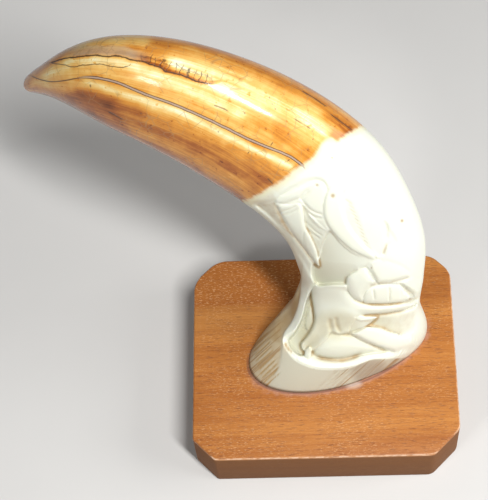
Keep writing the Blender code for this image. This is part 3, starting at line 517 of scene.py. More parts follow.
def carveFront(places):
    relief = flatSheet(places)
    carveLower(relief)
    carveUpper(relief)
    for line in creases.values():
        cutLine(relief, *line)
    for rows in hatches.values():
        hatch(relief, rows)
    for middle, halfWidth in pits:
        spot = np.exp(-(np.hypot(*(places - np.array(middle)).T) / halfWidth) ** 2)
        relief["height"] -= carving["pitDepth"] * spot
        relief["dirtAndShade"] += carving["pitDirt"] * spot
    return relief


# The hidden side has the same body, ear and ledge, and is plainer than the front
def carveBack(places):
    relief = flatSheet(places)
    layForm(relief, "upperGround", -1.2, edge=2.6, dirtAndShade=0.0)
    layForm(relief, "lowerGround", -2.4, edge=1.8, dirtAndShade=0.0)
    layForm(relief, "belly", -2.8, rise=1.6, reach=4.0, edge=1.2)
    layForm(relief, "limb", -1.4, rise=1.0, reach=1.8, edge=1.2)
    layForm(relief, "bodyForm", -2.4, rise=1.8, reach=4.0, edge=1.2)
    layForm(relief, "knee", -1.0, rise=0.8, reach=2.6, edge=1.2)
    layForm(relief, "paw", -1.8, rise=1.5, reach=3.0, edge=1.2)
    layForm(relief, "toes", -1.8, rise=1.2, reach=2.4, edge=0.8)
    layForm(relief, "earHollow", -1.0, edge=1.8, lean=(0.12, 0.04), highest=-0.1)
    layForm(relief, "earRim", -0.3, rise=0.5, reach=1.6, edge=1.2)
    for name in back["creases"]:
        cutLine(relief, *creases[name], dirtAndShade=back["creaseDirtAndShade"])
    relief["height"] *= back["share"]
    return relief


def unit(rows):
    return rows / np.linalg.norm(rows, axis=1)[:, None]


# Vectors known at some distances along the tusk, read at others
def between(distance, distances, vectors):
    return np.stack([np.interp(distance, distances, vectors[:, k]) for k in range(3)], 1)


def rootPlace():
    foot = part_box("stand")[1][2] + tusk["footGap"]
    return Vector((tusk["rootAcross"], tusk["rootBack"], foot))


# Places and frames along the tusk's middle, straight below the stand's top
def marchMiddle():
    length = tusk["length"]
    along = Vector((tusk["leanRight"], tusk["leanBack"], 1.0)).normalized()
    inward = Vector((-1.0, 0.0, 0.0))
    inward = (inward - along * inward.dot(along)).normalized()
    inward = Matrix.Rotation(tusk["bendPlaneTurn"], 3, along) @ inward
    below = -tusk["widthStations"][0] * length
    distances = np.linspace(-below, length, tusk["middleSteps"])
    step = distances[1] - distances[0]
    place = rootPlace() - along * below
    rates = tusk["bendRates"]
    stations = np.linspace(0.0, 1.0, len(rates))
    places, tangents, inwards = [], [], []
    for distance in distances:
        places.append(place.copy())
        tangents.append(along.copy())
        inwards.append(inward.copy())
        bend = twist = 0.0
        if distance >= 0.0:
            bend = math.radians(float(np.interp(distance / length, stations, rates))) / length * step
            twist = tusk["wholeTwist"] / length * step
        across = along.cross(inward)
        place = place + along * step + inward * (0.5 * bend * step)
        newAlong = (along + inward * bend).normalized()
        inward = inward - along * bend + across * twist
        inward = (inward - newAlong * inward.dot(newAlong)).normalized()
        along = newAlong
    return distances, np.array(places), np.array(tangents), np.array(inwards)


# Points and outward directions of the uncut tusk. Angle 0 is the side that faces the camera.
def surfacePoints(distance, angle, middleLine):
    distances, places, tangents, inwards = middleLine
    middle = between(distance, distances, places)
    along = unit(between(distance, distances, tangents))
    inward = between(distance, distances, inwards)
    inward = unit(inward - along * (inward * along).sum(1)[:, None])
    across = np.cross(along, inward)
    length = tusk["length"]
    share = distance / length
    rounding = np.clip((distance - length + tusk["tipRounding"]) / tusk["tipRounding"], 0.0, 1.0)
    halfRoot = 0.5 * tusk["rootWidth"] * np.sqrt(np.maximum(1.0 - rounding ** 2, 0.0))
    innerHalf = halfRoot * smoothValues(tusk["widthStations"], tusk["innerShares"], share)
    outerHalf = halfRoot * smoothValues(tusk["widthStations"], tusk["outerShares"], share)
    flatnesses = (tusk["rootFlatness"], tusk["shaftFlatness"])
    flatness = np.interp(share, (0.0, tusk["flatnessChangeEnd"]), flatnesses)
    toEye = unit(np.array(view["eye"]) - middle)
    turn = np.arctan2((toEye * across).sum(1), (toEye * inward).sum(1)) + angle
    innerSide = 0.5 + 0.5 * np.cos(turn)
    wide = innerHalf * innerSide + outerHalf * (1.0 - innerSide)
    thick = 0.5 * (innerHalf + outerHalf) * flatness
    wide = np.maximum(wide - tusk["inset"], 0.0)
    thick = np.maximum(thick - tusk["inset"], 0.0)
    point = middle + inward * (wide * np.cos(turn))[:, None] + across * (thick * np.sin(turn))[:, None]
    outward = unit(inward * (np.cos(turn) / np.maximum(wide, 1e-5))[:, None]
                   + across * (np.sin(turn) / np.maximum(thick, 1e-5))[:, None])
    return point, outward


def viewTurn():
    turned = Euler((math.pi / 2 - view["pitch"], 0.0, view["turn"])).to_matrix()
    return turned @ Matrix.Rotation(-view["roll"], 3, "Z")


# Where each point is seen on the sheet, and its line of sight
def seenOnSheet(point):
    axes = ((1, 0, 0), (0, 1, 0), (0, 0, -1))
    right, up, forward = (np.array(viewTurn() @ Vector(axis)) for axis in axes)
    sight = point - np.array(view["eye"])
    reach = view["sheetDistance"] / (sight @ forward)
    across = (sight @ right * reach - view["sheetRight"]) / view["sheetUnit"]
    upward = (sight @ up * reach + view["sheetDown"]) / view["sheetUnit"]
    return np.stack([across, upward], 1), unit(sight)


# Cuts the front along the lines of sight and the hidden side straight in from behind
def carve(point, outward):
    places, sight = seenOnSheet(point)
    facing = -(sight * outward).sum(1)
    front = smoothStep(view["softestFacing"], view["fullFacing"], facing)
    hidden = smoothStep(view["softestFacing"], view["fullFacing"], outward[:, 1]) * (facing < 0.0)
    hidden = hidden * smoothStep(0.0, view["fullFacing"], -facing)
    ledgeHeight = rootPlace().z + back["ledgeAboveFoot"]
    backUp = (point[:, 2] - ledgeHeight) / (back["heightUnit"] * view["sheetUnit"])
    backAcross = (point[:, 0] - tusk["rootAcross"]) / view["sheetUnit"] + back["drift"] * backUp
    frontRelief = carveFront(places)
    backRelief = carveBack(np.stack([backAcross, backUp], 1))
    carved = point - sight * (frontRelief["height"] * front * view["sheetUnit"])[:, None]
    carved[:, 1] += backRelief["height"] * hidden * view["sheetUnit"]
    dirtAndShade = frontRelief["dirtAndShade"] * front + backRelief["dirtAndShade"] * hidden
    depth = -frontRelief["height"] * front - backRelief["height"] * hidden
    unseen = view["marksMoved"] * smoothStep(0.0, view["marksGone"], -facing)
    return carved, places, dirtAndShade, depth, unseen


def ringDistances():
    foot = np.linspace(0.0, tusk["carvedStart"], tusk["footRings"], endpoint=False)
    carved = np.linspace(tusk["carvedStart"], tusk["carvedEnd"], tusk["carvedRings"], endpoint=False)
    tipStart = 1.0 - tusk["tipRounding"] / tusk["length"]
    shaft = np.linspace(tusk["carvedEnd"], tipStart, tusk["shaftRings"], endpoint=False)
    quarter = np.linspace(0.0, math.pi / 2, tusk["tipRings"], endpoint=False)
    tip = tipStart + (1.0 - tipStart) * np.sin(quarter)
    return tusk["length"] * np.concatenate([foot, carved, shaft, tip])


# For each angle, how far along the uncut tusk it meets the foot's plane
def footDistances(angles, middleLine):
    samples = np.linspace(tusk["widthStations"][0], tusk["footSearchEnd"], tusk["footSearchSteps"])
    samples = samples * tusk["length"]
    point = surfacePoints(np.repeat(samples, len(angles)), np.tile(angles, len(samples)), middleLine)[0]
    heights = point[:, 2].reshape(len(samples), len(angles))
    return np.array([np.interp(rootPlace().z, heights[:, j], samples) for j in range(len(angles))])


# Tone of the stain from pale (0) to dark (1), laid band by band
def stainTone(places):
    tone = np.full(len(places), 0.5)
    for path, halfWidth, level, strength in toneBands.values():
        curve = smoothPath(path, steps=3, closed=False)
        near = nearTo(places, curve, 3.0 * halfWidth)
        away = followPath(places[near], curve, False)[0]
        cover = strength * np.exp(-(away / halfWidth) ** 2)
        tone[near] = tone[near] * (1.0 - cover) + level * cover
    return tone


def addVectors(mesh, name, *columns):
    layer = mesh.attributes.new(name, "FLOAT_VECTOR", "POINT")
    layer.data.foreach_set("vector", np.stack(columns, 1).astype(np.float32).ravel())


def selectNothing():
    for item in list(bpy.context.selected_objects):
        item.select_set(False)


# For each point of the ball, its ring, counted up from -1 at the foot's pole, and its place in it
def ringAndPlace(mesh, count, segments):
    ball = np.empty(len(mesh.vertices) * 3, np.float32)
    mesh.vertices.foreach_get("co", ball)
    ball = ball.reshape(-1, 3).astype(float)
    upward = np.arccos(np.clip(-ball[:, 2], -1, 1)) / math.pi * (count + 1)
    turned = np.arctan2(ball[:, 1], ball[:, 0]) / (2 * math.pi) * segments
    return np.rint(upward).astype(int) - 1, np.rint(turned).astype(int) % segments


# What the ivory's material reads at each point of the tusk, in millimetres
def addMarks(mesh, places, dirtAndShade, depth, unseen, distance, angle):
    gum, gumSide = followOpen(places, markings["gumLine"])[:2]
    ledge, ledgeSide = followOpen(places, wallLine)[:2]
    groove, grooveSide, grooveRun = followOpen(places, markings["groove"])
    crack, crackSide, crackRun = followOpen(places, markings["crack"])
    thin, thinSide = followOpen(places, markings["thinCrack"])[:2]
    short = np.min([followOpen(places, path)[0] for path in shortCracks], axis=0) + unseen
    along = distance / view["sheetUnit"]
    across = angle * 0.5 * tusk["rootWidth"] / view["sheetUnit"]
    addVectors(mesh, "drawing", places[:, 0], places[:, 1], depth)
    addVectors(mesh, "marks", dirtAndShade, -gum * gumSide, stainTone(places))
    addVectors(mesh, "grooveLine", (groove + unseen) * grooveSide, grooveRun, -ledge * ledgeSide)
    addVectors(mesh, "crackLine", (crack + unseen) * crackSide, crackRun, (thin + unseen) * thinSide)
    addVectors(mesh, "course", along, across, short)


def thinAndClose(piece, triangles):
    thinning = piece.modifiers.new("thinning", "DECIMATE")
    thinning.ratio = min(1.0, tusk["mostTriangles"] / triangles)
    bpy.ops.object.modifier_apply(modifier=thinning.name)
    bpy.ops.object.mode_set(mode="EDIT")
    bpy.ops.mesh.select_all(action="SELECT")
    bpy.ops.mesh.remove_doubles(threshold=tusk["closestPoints"])
    bpy.ops.mesh.normals_make_consistent(inside=False)
    bpy.ops.object.mode_set(mode="OBJECT")
    bpy.ops.object.shade_smooth()


# A ball of rings, each ring moved to its place along the bent and carved tusk
def makeTusk():
    rings = ringDistances()
    segments = tusk["segments"]
    selectNothing()
    bpy.ops.mesh.primitive_uv_sphere_add(segments=segments, ring_count=len(rings) + 1, radius=1.0)
    piece = bpy.context.active_object
    piece.name = piece.data.name = "carvedTusk"
    mesh = piece.data
    ring, segment = ringAndPlace(mesh, len(rings), segments)
    middleLine = marchMiddle()
    even = np.arange(segments) * 2 * math.pi / segments
    even = np.where(even > math.pi, even - 2 * math.pi, even)
    angles = even - tusk["frontCrowding"] * np.sin(even)
    foot = footDistances(angles, middleLine)
    distance = rings[np.clip(ring, 0, len(rings) - 1)]
    belowCarving = 1.0 - np.clip(distance / (tusk["carvedEnd"] * tusk["length"]), 0.0, 1.0)
    distance = distance + foot[segment] * belowCarving
    distance[ring == len(rings)] = tusk["length"]
    angle = angles[segment]
    point, outward = surfacePoints(distance, angle, middleLine)
    footHeight = rootPlace().z
    point[ring == 0, 2] = footHeight
    carved, places, dirtAndShade, depth, unseen = carve(point, outward)
    clear = np.clip((point[:, 2] - footHeight) / (tusk["clearOfFoot"] * tusk["length"]), 0.0, 1.0)
    point = point + (carved - point) * clear[:, None]
    point[ring == 0, 2] -= tusk["glueDepth"]
    point[ring < 0] = point[ring == 0].mean(axis=0)
    mesh.vertices.foreach_set("co", point.astype(np.float32).ravel())
    print("tusk carved")
    addMarks(mesh, places, dirtAndShade, depth, unseen, distance, angle)
    mesh.update()
    thinAndClose(piece, 2 * segments * len(rings))
    print("tusk", len(piece.data.polygons), "faces")
    return piece


# A value in a material: sums on values add the Math nodes that work them out
class Value:
    def __init__(self, tree, socket=None):
        self.tree = tree
        self.socket = socket

    def node(self, kind, settings=None, inputs=None, output=0):
        made = self.tree.nodes.new("ShaderNode" + kind)
        for name, setting in (settings or {}).items():
            if name == "stops":
                for k, (place, colour) in enumerate(setting):
                    stop = made.color_ramp.elements[k] if k < 2 else made.color_ramp.elements.new(place)
                    stop.position = place
                    stop.color = (*colour, 1.0)
            else:
                setattr(made, name, setting)
        for name, given in (inputs or {}).items():
            if isinstance(given, Value):
                self.tree.links.new(given.socket, made.inputs[name])
            else:
                made.inputs[name].default_value = given
        return Value(self.tree, made.outputs[output])

    def maths(self, operation, *others):
        values = dict(enumerate((self, *others)))
        return self.node("Math", {"operation": operation}, values)

    def __add__(self, other):
        return self.maths("ADD", other)

    __radd__ = __add__

    def __sub__(self, other):
        return self.maths("SUBTRACT", other)

    def __rsub__(self, other):
        return self.node("Math", {"operation": "SUBTRACT"}, {0: other, 1: self})

    def __mul__(self, other):
        return self.maths("MULTIPLY", other)

    __rmul__ = __mul__

    def __truediv__(self, other):
        return self.maths("DIVIDE", other)

    def __pow__(self, other):
        return self.maths("POWER", other)

    def __abs__(self):
        return self.maths("ABSOLUTE")

    def most(self, other):
        return self.maths("MAXIMUM", other)

    # 0 at the first value and 1 at the second, whichever of them is larger
    def fade(self, start, end):
        settings = {"interpolation_type": "SMOOTHSTEP"}
        if start < end:
            return self.node("MapRange", settings, {0: self, 1: start, 2: end})
        return 1.0 - self.node("MapRange", settings, {0: self, 1: end, 2: start})

    def mix(self, first, second):
        return self.node("Mix", {"data_type": "RGBA"}, {0: self, 6: first, 7: second}, 2)

    def part(self, k):
        return self.node("SeparateXYZ", None, {0: self}, k)

    def attribute(self, name):
        return self.node("Attribute", {"attribute_name": name}, output="Vector")

    def noise(self, scale, detail=3.0, roughness=0.55, stretch=(1, 1, 1), place=(0, 0, 0)):
        mapped = self.node("Mapping", None, {"Vector": self, "Scale": stretch, "Location": place})
        inputs = {"Vector": mapped, "Scale": scale, "Detail": detail, "Roughness": roughness}
        return self.node("TexNoise", None, inputs)


def colour(red, green, blue):
    return (red, green, blue, 1.0)


def newMaterial(name, constants):
    material = bpy.data.materials.new(name)
    material.use_nodes = True
    tree = material.node_tree
    shader = tree.nodes["Principled BSDF"]
    for socket, value in constants.items():
        shader.inputs[socket].default_value = value
    return material, Value(tree), shader


def join(shader, values):
    for socket, value in values.items():
        value.tree.links.new(value.socket, shader.inputs[socket])


# Grows outwards from a place, by each direction's own share of the squared distance
def spot(x, y, place, shares):
    return (x - place[0]) ** 2.0 * shares[0] + (y - place[1]) ** 2.0 * shares[1]


ivory = {
    "shader": {"Roughness": 0.3, "IOR": 1.54, "Specular IOR Level": 0.2,
               "Coat Roughness": 0.07, "Coat IOR": 1.38, "Subsurface Weight": 0.1,
               "Subsurface Radius": (1.0, 0.8, 0.5), "Subsurface Scale": 0.0012},
    "white": colour(0.78, 0.80, 0.69),
    "shade": colour(0.58, 0.57, 0.43),
    # Painted shade of the plain wall under the ledge, and its browner left facet with stain and painted
    # shade
    "shadedWall": colour(0.56, 0.53, 0.41),
    "leftWall": colour(0.56, 0.40, 0.19),
    # Painted shade on the lower body and the leg, and where it lies
    "legShade": colour(0.56, 0.52, 0.34),
    "legShadeSpots": (((-2.0, 12.5), (0.012, 0.03)), ((-9.5, 8.5), (0.05, 0.04))),
    # Brown of the dirt and of the painted shade in the carving
    "dirtAndShade": colour(0.42, 0.27, 0.11),
    "striae": colour(0.36, 0.22, 0.10),
    "patch": colour(0.33, 0.25, 0.18),
    "patchSpot": ((9.0, -1.8), (0.035, 0.05)),
    "cream": colour(0.78, 0.73, 0.50),
    "stain": ((0.0, (0.90, 0.84, 0.60)), (0.09, (0.86, 0.72, 0.37)), (0.26, (0.80, 0.50, 0.15)),
              (0.5, (0.66, 0.28, 0.045)), (0.75, (0.36, 0.105, 0.018)), (1.0, (0.12, 0.03, 0.008))),
    "fadeWidth": 1.7,  # of the stain at the gum line
    "ash": colour(0.52, 0.44, 0.29),
    "crack": colour(0.05, 0.028, 0.018),
    "grooveFloor": colour(0.42, 0.33, 0.27),
    "grooveOpens": (13.0, 19.0),  # millimetres from the tip's end of each line
    "combStarts": (27.0, 30.0),
    "crackEnds": (54.0, 50.0),
}


# The lines on the stained half: the groove, the comb-edged crack above it, a thin one and short ones
def crackMasks(placeOn, grooveLine, crackLine, course):
    wander = placeOn.noise(420.0, 3.0, 0.6) - 0.5
    sway = placeOn.noise(240.0, 2.0, place=(9, 4, 1)) - 0.5
    grooveAway = abs(grooveLine.part(0) + wander * 0.3)
    grooveOpen = grooveLine.part(1).fade(*ivory["grooveOpens"])
    grooveThin = grooveAway.fade(0.30, 0.08) * (1.0 - grooveOpen) * 0.85
    grooveEdges = abs(grooveAway - 0.34).fade(0.22, 0.05) * grooveOpen
    crackAway = crackLine.part(0) + wander * 0.9
    crackRun = crackLine.part(1)
    crackEnds = crackRun.fade(*ivory["crackEnds"])
    crack = abs(crackAway).fade(0.36, 0.08) * crackEnds
    comb = abs((crackRun * 0.47 + wander + sway * 1.6).maths("FRACT") - 0.5).fade(0.12, 0.035)
    comb = comb * (crackAway + 0.5).fade(0.0, 0.3) * (crackAway + sway * 4.0).fade(3.3, 2.6)
    rung = abs(crackAway - 2.0 + sway * 4.0 + wander * 1.2).fade(0.26, 0.06)
    comb = comb.most(rung * 0.6) * crackRun.fade(*ivory["combStarts"]) * crackEnds * 0.8
    shadow = abs(crackAway - 0.3).fade(0.9, 0.1) * crackRun.fade(24.0, 34.0) * crackRun.fade(56.0, 52.0)
    halo = (abs(crackAway).fade(1.5, 0.2) * 0.5).most(abs(crackAway - 1.1).fade(1.5, 0.3))
    thin = abs(crackLine.part(2) + wander * 0.6).fade(0.26, 0.06) * 0.8
    short = (course.part(2) + wander * 0.5).fade(0.34, 0.06) * 0.75
    return {
        "lines": grooveThin.most(comb).most(crack).most(thin).most(grooveEdges).most(short),
        "grooveFloor": grooveAway.fade(0.34, 0.16) * grooveOpen,
        "shadow": shadow,
        "halo": halo * crackRun.fade(55.0, 51.0) * crackRun.fade(5.0, 12.0),
        "ash": abs(crackAway - 1.7).fade(2.0, 0.9) * crackRun.fade(2.0, 9.0) * crackRun.fade(32.0, 24.0),
    }


# The pale half: the carving, the plain wall with its growth lines, a grey patch, the dirt and painted
# shade
def paleColour(placeOn, drawing, wallAway, dirtAndShade):
    x, y, depth = (drawing.part(k) for k in range(3))
    pale = (placeOn.noise(60.0, 3.0) * 0.16).mix(ivory["white"], ivory["cream"])
    # Painted shade: the deeper the carving, the more of the shade colour
    pale = (depth.fade(0.6, 4.5) * 0.7).mix(pale, ivory["shade"])
    slope = placeOn.node("CombineXYZ", None, {0: x * 0.75 + y * 0.66, 1: y * 0.75 - x * 0.66})
    striae = slope.noise(1.0, 2.0, 0.5, (0.03, 1.3, 0.0)).fade(0.52, 0.62)
    # Painted shade: the plain wall under the ledge is mixed towards a darker colour; its upper left and
    # its left facet are browner, with brown stain and painted shade
    shadedWall = wallAway.fade(-0.15, 0.35) * y.fade(35.0, 22.0)
    upperLeft = shadedWall * x.fade(-15.0, -17.0).most(y.fade(4.0, 8.0)) * y.fade(0.0, 16.0)
    pale = (shadedWall * 0.85).mix(pale, ivory["shadedWall"])
    pale = (upperLeft * 0.6).mix(pale, ivory["dirtAndShade"])
    leftFacet = (x + 18.3 + (3.0 - y).most(0.0) ** 2.0 * 0.045).fade(0.2, -0.8)
    pale = (shadedWall * leftFacet * 0.3).mix(pale, ivory["leftWall"])
    sides = leftFacet.most(x.fade(-3.0, 1.0))
    pale = (striae * shadedWall * sides * 0.8).mix(pale, ivory["striae"])
    patch = (spot(x, y, *ivory["patchSpot"]) + striae * 0.7).fade(1.7, 0.4)
    pale = (patch * shadedWall * 0.5).mix(pale, ivory["patch"])
    # Dirt and painted shade from the carving's attribute, broken up by noise
    grimeAndShade = (dirtAndShade * (0.5 + placeOn.noise(500.0, 2.0))).fade(0.05, 0.9) * 0.8
    pale = grimeAndShade.mix(pale, ivory["dirtAndShade"])
    # Painted shade on the lower body and the leg, which turn down away from the light
    firstLegShade, secondLegShade = (spot(x, y, *place).fade(1.1, 0.2) for place in ivory["legShadeSpots"])
    return (firstLegShade.most(secondLegShade) * (1.0 - shadedWall) * 0.5).mix(pale, ivory["legShade"])


def makeIvory():
    material, start, shader = newMaterial("carvedIvory", ivory["shader"])
    placeOn = start.node("TexCoord", output="Object")
    names = ("drawing", "marks", "grooveLine", "crackLine", "course")
    drawing, marks, grooveLine, crackLine, course = (start.attribute(name) for name in names)
    dirtAndShade, gum, tone = (marks.part(k) for k in range(3))
    cracks = crackMasks(placeOn, grooveLine, crackLine, course)

    # Stain: bands, streaks along the tusk and mottles, darker and then ashen beside the crack
    streaks = course.noise(1.0, 4.0, 0.6, (0.035, 0.55, 0.0))
    fineStreaks = course.noise(1.0, 3.0, 0.6, (0.12, 2.2, 0.0), (5, 3, 0))
    mottle = placeOn.noise(160.0, 4.0, 0.62)
    specks = placeOn.noise(520.0, 3.0, 0.6, place=(3, 1, 2))
    tone = tone + (streaks - 0.5) * 0.5 + (fineStreaks - 0.5) * 0.3 + (mottle - 0.5) * 0.5
    tone = tone + specks.fade(0.62, 0.72) * 0.2
    tone = tone + cracks["halo"] * (mottle * 0.45) + cracks["shadow"] * 0.35
    stain = start.node("ValToRGB", {"stops": ivory["stain"]}, {0: tone})
    stain = (cracks["ash"] * (0.3 + mottle * 0.5)).mix(stain, ivory["ash"])
    smudges = placeOn.noise(1.0, 4.0, 0.65, (160.0, 420.0, 420.0), (1, 7, 2)).fade(0.5, 0.62)
    stain = (smudges * cracks["ash"] * 0.45).mix(stain, ivory["striae"])

    # Gum line: the stain fades through cream to white
    ragged = gum + (placeOn.noise(300.0, 4.0, 0.6) - 0.5) * 1.7 + (streaks - 0.5) * 0.9
    stained = ragged.fade(0.0, ivory["fadeWidth"])
    pale = paleColour(placeOn, drawing, grooveLine.part(2), dirtAndShade)
    pale = ragged.fade(-2.2, 1.0).mix(pale, ivory["cream"])
    base = stained.mix(pale, stain)

    # Fine crazing, the cracks and the groove's floor lie over both
    cellSize = {"Vector": placeOn, "Scale": 260.0}
    edges = placeOn.node("TexVoronoi", {"feature": "DISTANCE_TO_EDGE"}, cellSize)
    crazing = edges.fade(0.05, 0.0) * placeOn.noise(90.0, 2.0).fade(0.44, 0.6) * 0.5
    base = (crazing * stained).mix(base, ivory["striae"])
    cut = cracks["lines"] * stained
    base = (cut * 0.92).mix(base, ivory["crack"])
    base = (cracks["grooveFloor"] * ragged.fade(-1.5, 0.5) * 0.85).mix(base, ivory["grooveFloor"])

    rough = 0.36 - stained * 0.14 + cut * 0.3 + (mottle - 0.5) * 0.1
    height = (mottle - 0.5) * 0.05 + (specks - 0.5) * 0.03 - cut * 0.6
    bump = start.node("Bump", None, {"Height": height, "Strength": 0.35, "Distance": 0.0006})
    join(shader, {"Base Color": base, "Roughness": rough, "Normal": bump,
                  "Coat Weight": stained * 0.34 + 0.02})
    return material


# How far each upright corner is cut off, how round the cut's ends are worn, and the eased edges
stand = {
    "cuts": {(-1, -1): 0.0073, (1, -1): 0.0090, (1, 1): 0.0063, (-1, 1): 0.0079},
    "roundings": {(-1, -1): 0.0006, (1, -1): 0.0014, (1, 1): 0.0024, (-1, 1): 0.0034},
    "roundingSegments": 5,
    "easing": 0.0006,
    "easingSegments": 3,
    "sharpestEasing": math.radians(40),
    "smoothUpTo": math.radians(30),
}


# Bevels the upright edges, each by the width given for its corner
def cutUprights(piece, widths, segments):
    mesh = piece.data
    name = "bevel_weight_edge"
    widest = max(widths.values())
    weights = mesh.attributes.get(name) or mesh.attributes.new(name, "FLOAT", "EDGE")
    for edge in mesh.edges:
        first, second = (mesh.vertices[k].co for k in edge.vertices)
        upright = (first.xy - second.xy).length < 1e-6
        corner = (1 if first.x > 0 else -1, 1 if first.y > 0 else -1)
        weights.data[edge.index].value = widths[corner] / widest if upright else 0.0
    cut = piece.modifiers.new("cut", "BEVEL")
    cut.limit_method = "WEIGHT"
    cut.width = widest
    cut.segments = segments
    bpy.ops.object.modifier_apply(modifier=cut.name)


def makeStand():
    low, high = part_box("stand")
    selectNothing()
    bpy.ops.mesh.primitive_cube_add(size=1.0)
    piece = bpy.context.active_object
    piece.name = piece.data.name = "woodenStand"
    for vertex in piece.data.vertices:
        vertex.co = [low[k] if vertex.co[k] < 0 else high[k] for k in range(3)]
    cutUprights(piece, stand["cuts"], 1)
    cutUprights(piece, stand["roundings"], stand["roundingSegments"])
    easing = piece.modifiers.new("easing", "BEVEL")
    easing.limit_method = "ANGLE"
    easing.angle_limit = stand["sharpestEasing"]
    easing.width = stand["easing"]
    easing.segments = stand["easingSegments"]
    bpy.ops.object.modifier_apply(modifier=easing.name)
    bpy.ops.object.shade_smooth_by_angle(angle=stand["smoothUpTo"])
    print("stand", len(piece.data.polygons), "faces")
    return piece


# Heights and places in metres, as in the frame
wood = {
    "shader": {"Roughness": 0.4, "IOR": 1.5, "Specular IOR Level": 0.25, "Coat Roughness": 0.25},
    "light": colour(0.58, 0.24, 0.056),
    "dark": colour(0.33, 0.10, 0.02),
    "pore": colour(0.15, 0.04, 0.012),
    "tan": colour(0.50, 0.24, 0.07),
    # Painted glints on the pores
    "poreGlint": colour(0.80, 0.48, 0.24),
    "side": colour(0.17, 0.070, 0.026),
    "sideFrom": 0.0190,
    # Painted highlight along the top edges at the front and the right
    "worn": colour(0.90, 0.66, 0.46),
    "wornHeight": 0.01942,
    "wornFront": (-0.0345, -0.0355),
    "wornRight": (0.0415, 0.0425),
    "glue": colour(0.50, 0.28, 0.22),
    # Painted shade where the tusk's foot meets the wood
    "contactShade": colour(0.10, 0.05, 0.045),
    "bead": colour(0.66, 0.56, 0.48),  # a drop of glue before the foot
    "beadPlace": (0.0095, -0.0108),
    "footAcross": 0.0047,
    "footBack": 0.0043,
    "footTurn": math.radians(17.4),
    "footHalfLong": 0.0312,
    "footHalfShort": 0.0161,
}


# How far from the tusk's foot each place on the wood is: 1 on the foot's edge
def awayFromFoot(x, y):
    across, backward = x - wood["footAcross"], y - wood["footBack"]
    cosine, sine = math.cos(wood["footTurn"]), math.sin(wood["footTurn"])
    lengthwise = (across * cosine + backward * sine) / wood["footHalfLong"]
    sidewise = (backward * cosine - across * sine) / wood["footHalfShort"]
    return (lengthwise * lengthwise + sidewise * sidewise).maths("SQRT")


def makeWood():
    material, start, shader = newMaterial("varnishedWood", wood["shader"])
    placeOn = start.node("TexCoord", output="Object")
    x, y, z = (placeOn.part(k) for k in range(3))

    # Grain along the board, with pores, painted glints on the pores and a darker corner behind on the left
    waves = placeOn.noise(1.0, 3.0, 0.5, (9.0, 130.0, 130.0))
    grain = placeOn.noise(1.0, 5.0, 0.65, (40.0, 900.0, 900.0))
    fine = placeOn.noise(1.0, 3.0, 0.6, (90.0, 3000.0, 3000.0), (4, 1, 6))
    pores = placeOn.noise(1.0, 2.0, 0.5, (300.0, 3200.0, 3200.0), (1, 2, 3))
    poreGlints = placeOn.noise(1.0, 2.0, 0.6, (850.0, 3400.0, 3400.0), (7, 5, 3))
    clusters = placeOn.noise(1.0, 2.0, 0.5, (50.0, 110.0, 110.0), (3, 8, 1)).fade(0.42, 0.62)
    base = (waves * 0.7 + grain * 0.5 + fine * 0.35 - 0.34).fade(0.12, 0.80)
    base = base.mix(wood["dark"], wood["light"])
    base = (pores.fade(0.56, 0.68) * 0.6).mix(base, wood["pore"])
    edge = y + (waves - 0.5) * 0.012
    corner = x.fade(0.006, -0.010) * edge.fade(0.0165, 0.0195)
    middle = x.fade(-0.004, -0.022) * edge.fade(0.006, 0.012)
    # Painted glints: pale specks on the pores, crowded in the corner behind on the left
    poreGlintShare = poreGlints.fade(0.55, 0.66) * (0.2 + clusters * 0.5).most(corner)
    base = (corner * 0.55).mix(base, wood["dark"])
    base = (middle * (1.0 - corner) * 0.3).mix(base, wood["tan"])
    base = (poreGlintShare * 0.6).mix(base, wood["poreGlint"])

    # Dark sides, and a painted highlight along the top edges at the front and the right, broken up by
    # noise
    sides = z.fade(wood["sideFrom"], wood["sideFrom"] - 0.0006)
    base = (sides * 0.85).mix(base, wood["side"])
    highlightBreaks = placeOn.noise(1300.0, 3.0, 0.6, (0.3, 0.3, 1.0), (2, 6, 4)).fade(0.36, 0.62)
    frontOrRight = y.fade(*wood["wornFront"]).most(x.fade(*wood["wornRight"]))
    worn = abs(z - wood["wornHeight"]).fade(0.00026, 0.00014) * frontOrRight
    base = (worn * (0.15 + highlightBreaks * 0.55)).mix(base, wood["worn"])

    # Dried glue before the tusk's foot, painted shade in a dark line where the foot meets the wood, and a
    # drop
    footAway = awayFromFoot(x, y)
    haze = (footAway + (placeOn.noise(420.0, 4.0, 0.65) - 0.5) * 0.22).fade(1.10, 1.0)
    haze = haze * (y - x * 0.3).fade(0.004, -0.004)
    base = (haze * 0.5).mix(base, wood["glue"])
    contactShade = abs(footAway - 1.0).fade(0.03, 0.012) * y.fade(0.006, -0.004)
    base = (contactShade * 0.5).mix(base, wood["contactShade"])
    bead = spot(x, y, wood["beadPlace"], (1.0, 3.0)).maths("SQRT")
    bead = (bead + (grain - 0.5) * 0.003).fade(0.0042, 0.001)
    base = (bead * 0.5).mix(base, wood["bead"])

    rough = 0.36 + grain * 0.12 + haze * 0.2 + sides * 0.35
    height = grain * 0.25 - pores.fade(0.58, 0.70) * 0.8
    bump = start.node("Bump", None, {"Height": height, "Strength": 0.3, "Distance": 0.0004})
    join(shader, {"Base Color": base, "Roughness": rough, "Normal": bump,
                  "Coat Weight": (0.3 - haze * 0.28) * (1.0 - sides)})
    return material


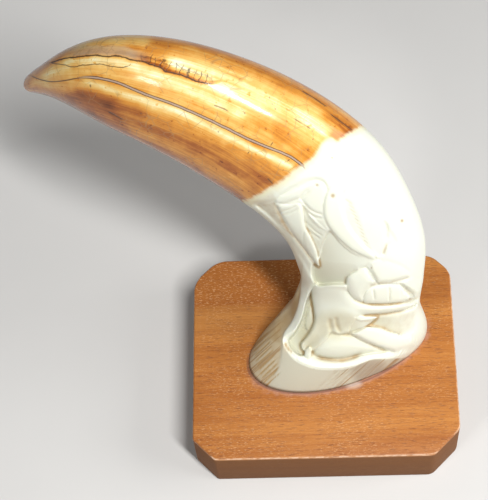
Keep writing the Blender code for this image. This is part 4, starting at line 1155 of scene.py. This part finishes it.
studio = {
    "floorSize": 3.0,
    "floorColour": colour(0.66, 0.65, 0.63),
    "floorCloud": colour(0.63, 0.62, 0.60),
    "lights": {
        "key": {"place": (0.150, -0.205, 0.60), "along": (0.20, -0.21, -0.18), "watts": 3.8,
                "size": (0.26, 0.05)},
        "side": {"place": (0.75, -0.10, 0.45), "along": (0.0, 1.0, 0.0), "watts": 4.0, "size": (0.5, 0.5)},
        "window": {"place": (-0.38, -0.42, 0.555), "along": (1.0, -1.0, 0.0), "watts": 1.3,
                   "size": (0.16, 0.10)},
    },
    "aim": (0.0, 0.02, 0.06),
    "sky": colour(0.30, 0.31, 0.33),
    "skyStrength": 0.2,
}


def makeFloor():
    selectNothing()
    bpy.ops.mesh.primitive_plane_add(size=studio["floorSize"], location=(0, 0, 0))
    floor = bpy.context.active_object
    floor.name = floor.data.name = "floor"
    material, start, shader = newMaterial("paleFloor", {"Roughness": 0.8})
    clouds = start.node("TexCoord", output="Object").noise(30.0, 2.0)
    join(shader, {"Base Color": clouds.mix(studio["floorColour"], studio["floorCloud"])})
    floor.data.materials.append(material)


# A rectangular light that looks at the aim, with its long side as near to along as that allows
def addLight(name, given):
    lamp = bpy.data.lights.new(name, "AREA")
    lamp.energy = given["watts"]
    lamp.shape = "RECTANGLE"
    lamp.size, lamp.size_y = given["size"]
    item = bpy.data.objects.new(name, lamp)
    item.location = given["place"]
    backward = (item.location - Vector(studio["aim"])).normalized()
    along = Vector(given["along"])
    along = (along - backward * along.dot(backward)).normalized()
    item.rotation_euler = Matrix((along, backward.cross(along), backward)).transposed().to_euler()
    bpy.context.scene.collection.objects.link(item)


def makeStudio():
    makeFloor()
    for name, given in studio["lights"].items():
        addLight(name, given)
    world = bpy.data.worlds.new("studio")
    bpy.context.scene.world = world
    world.use_nodes = True
    sky = world.node_tree.nodes["Background"]
    sky.inputs[0].default_value = studio["sky"]
    sky.inputs[1].default_value = studio["skyStrength"]
    bpy.context.scene.view_settings.view_transform = "Standard"


def makeCamera():
    lens = bpy.data.cameras.new("camera")
    lens.sensor_width = view["sensor"]
    lens.lens = view["focalLength"]
    camera = bpy.data.objects.new("camera", lens)
    camera.matrix_world = Matrix.Translation(view["eye"]) @ viewTurn().to_4x4()
    bpy.context.scene.collection.objects.link(camera)
    bpy.context.scene.camera = camera


makeCamera()
carvedTusk = makeTusk()
carvedTusk.data.materials.append(makeIvory())
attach(carvedTusk, "root")
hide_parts("tusk")
print("tusk finished")

woodenStand = makeStand()
woodenStand.data.materials.append(makeWood())
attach(woodenStand, "root")
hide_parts("stand")
print("stand finished")

makeStudio()
print("studio finished")
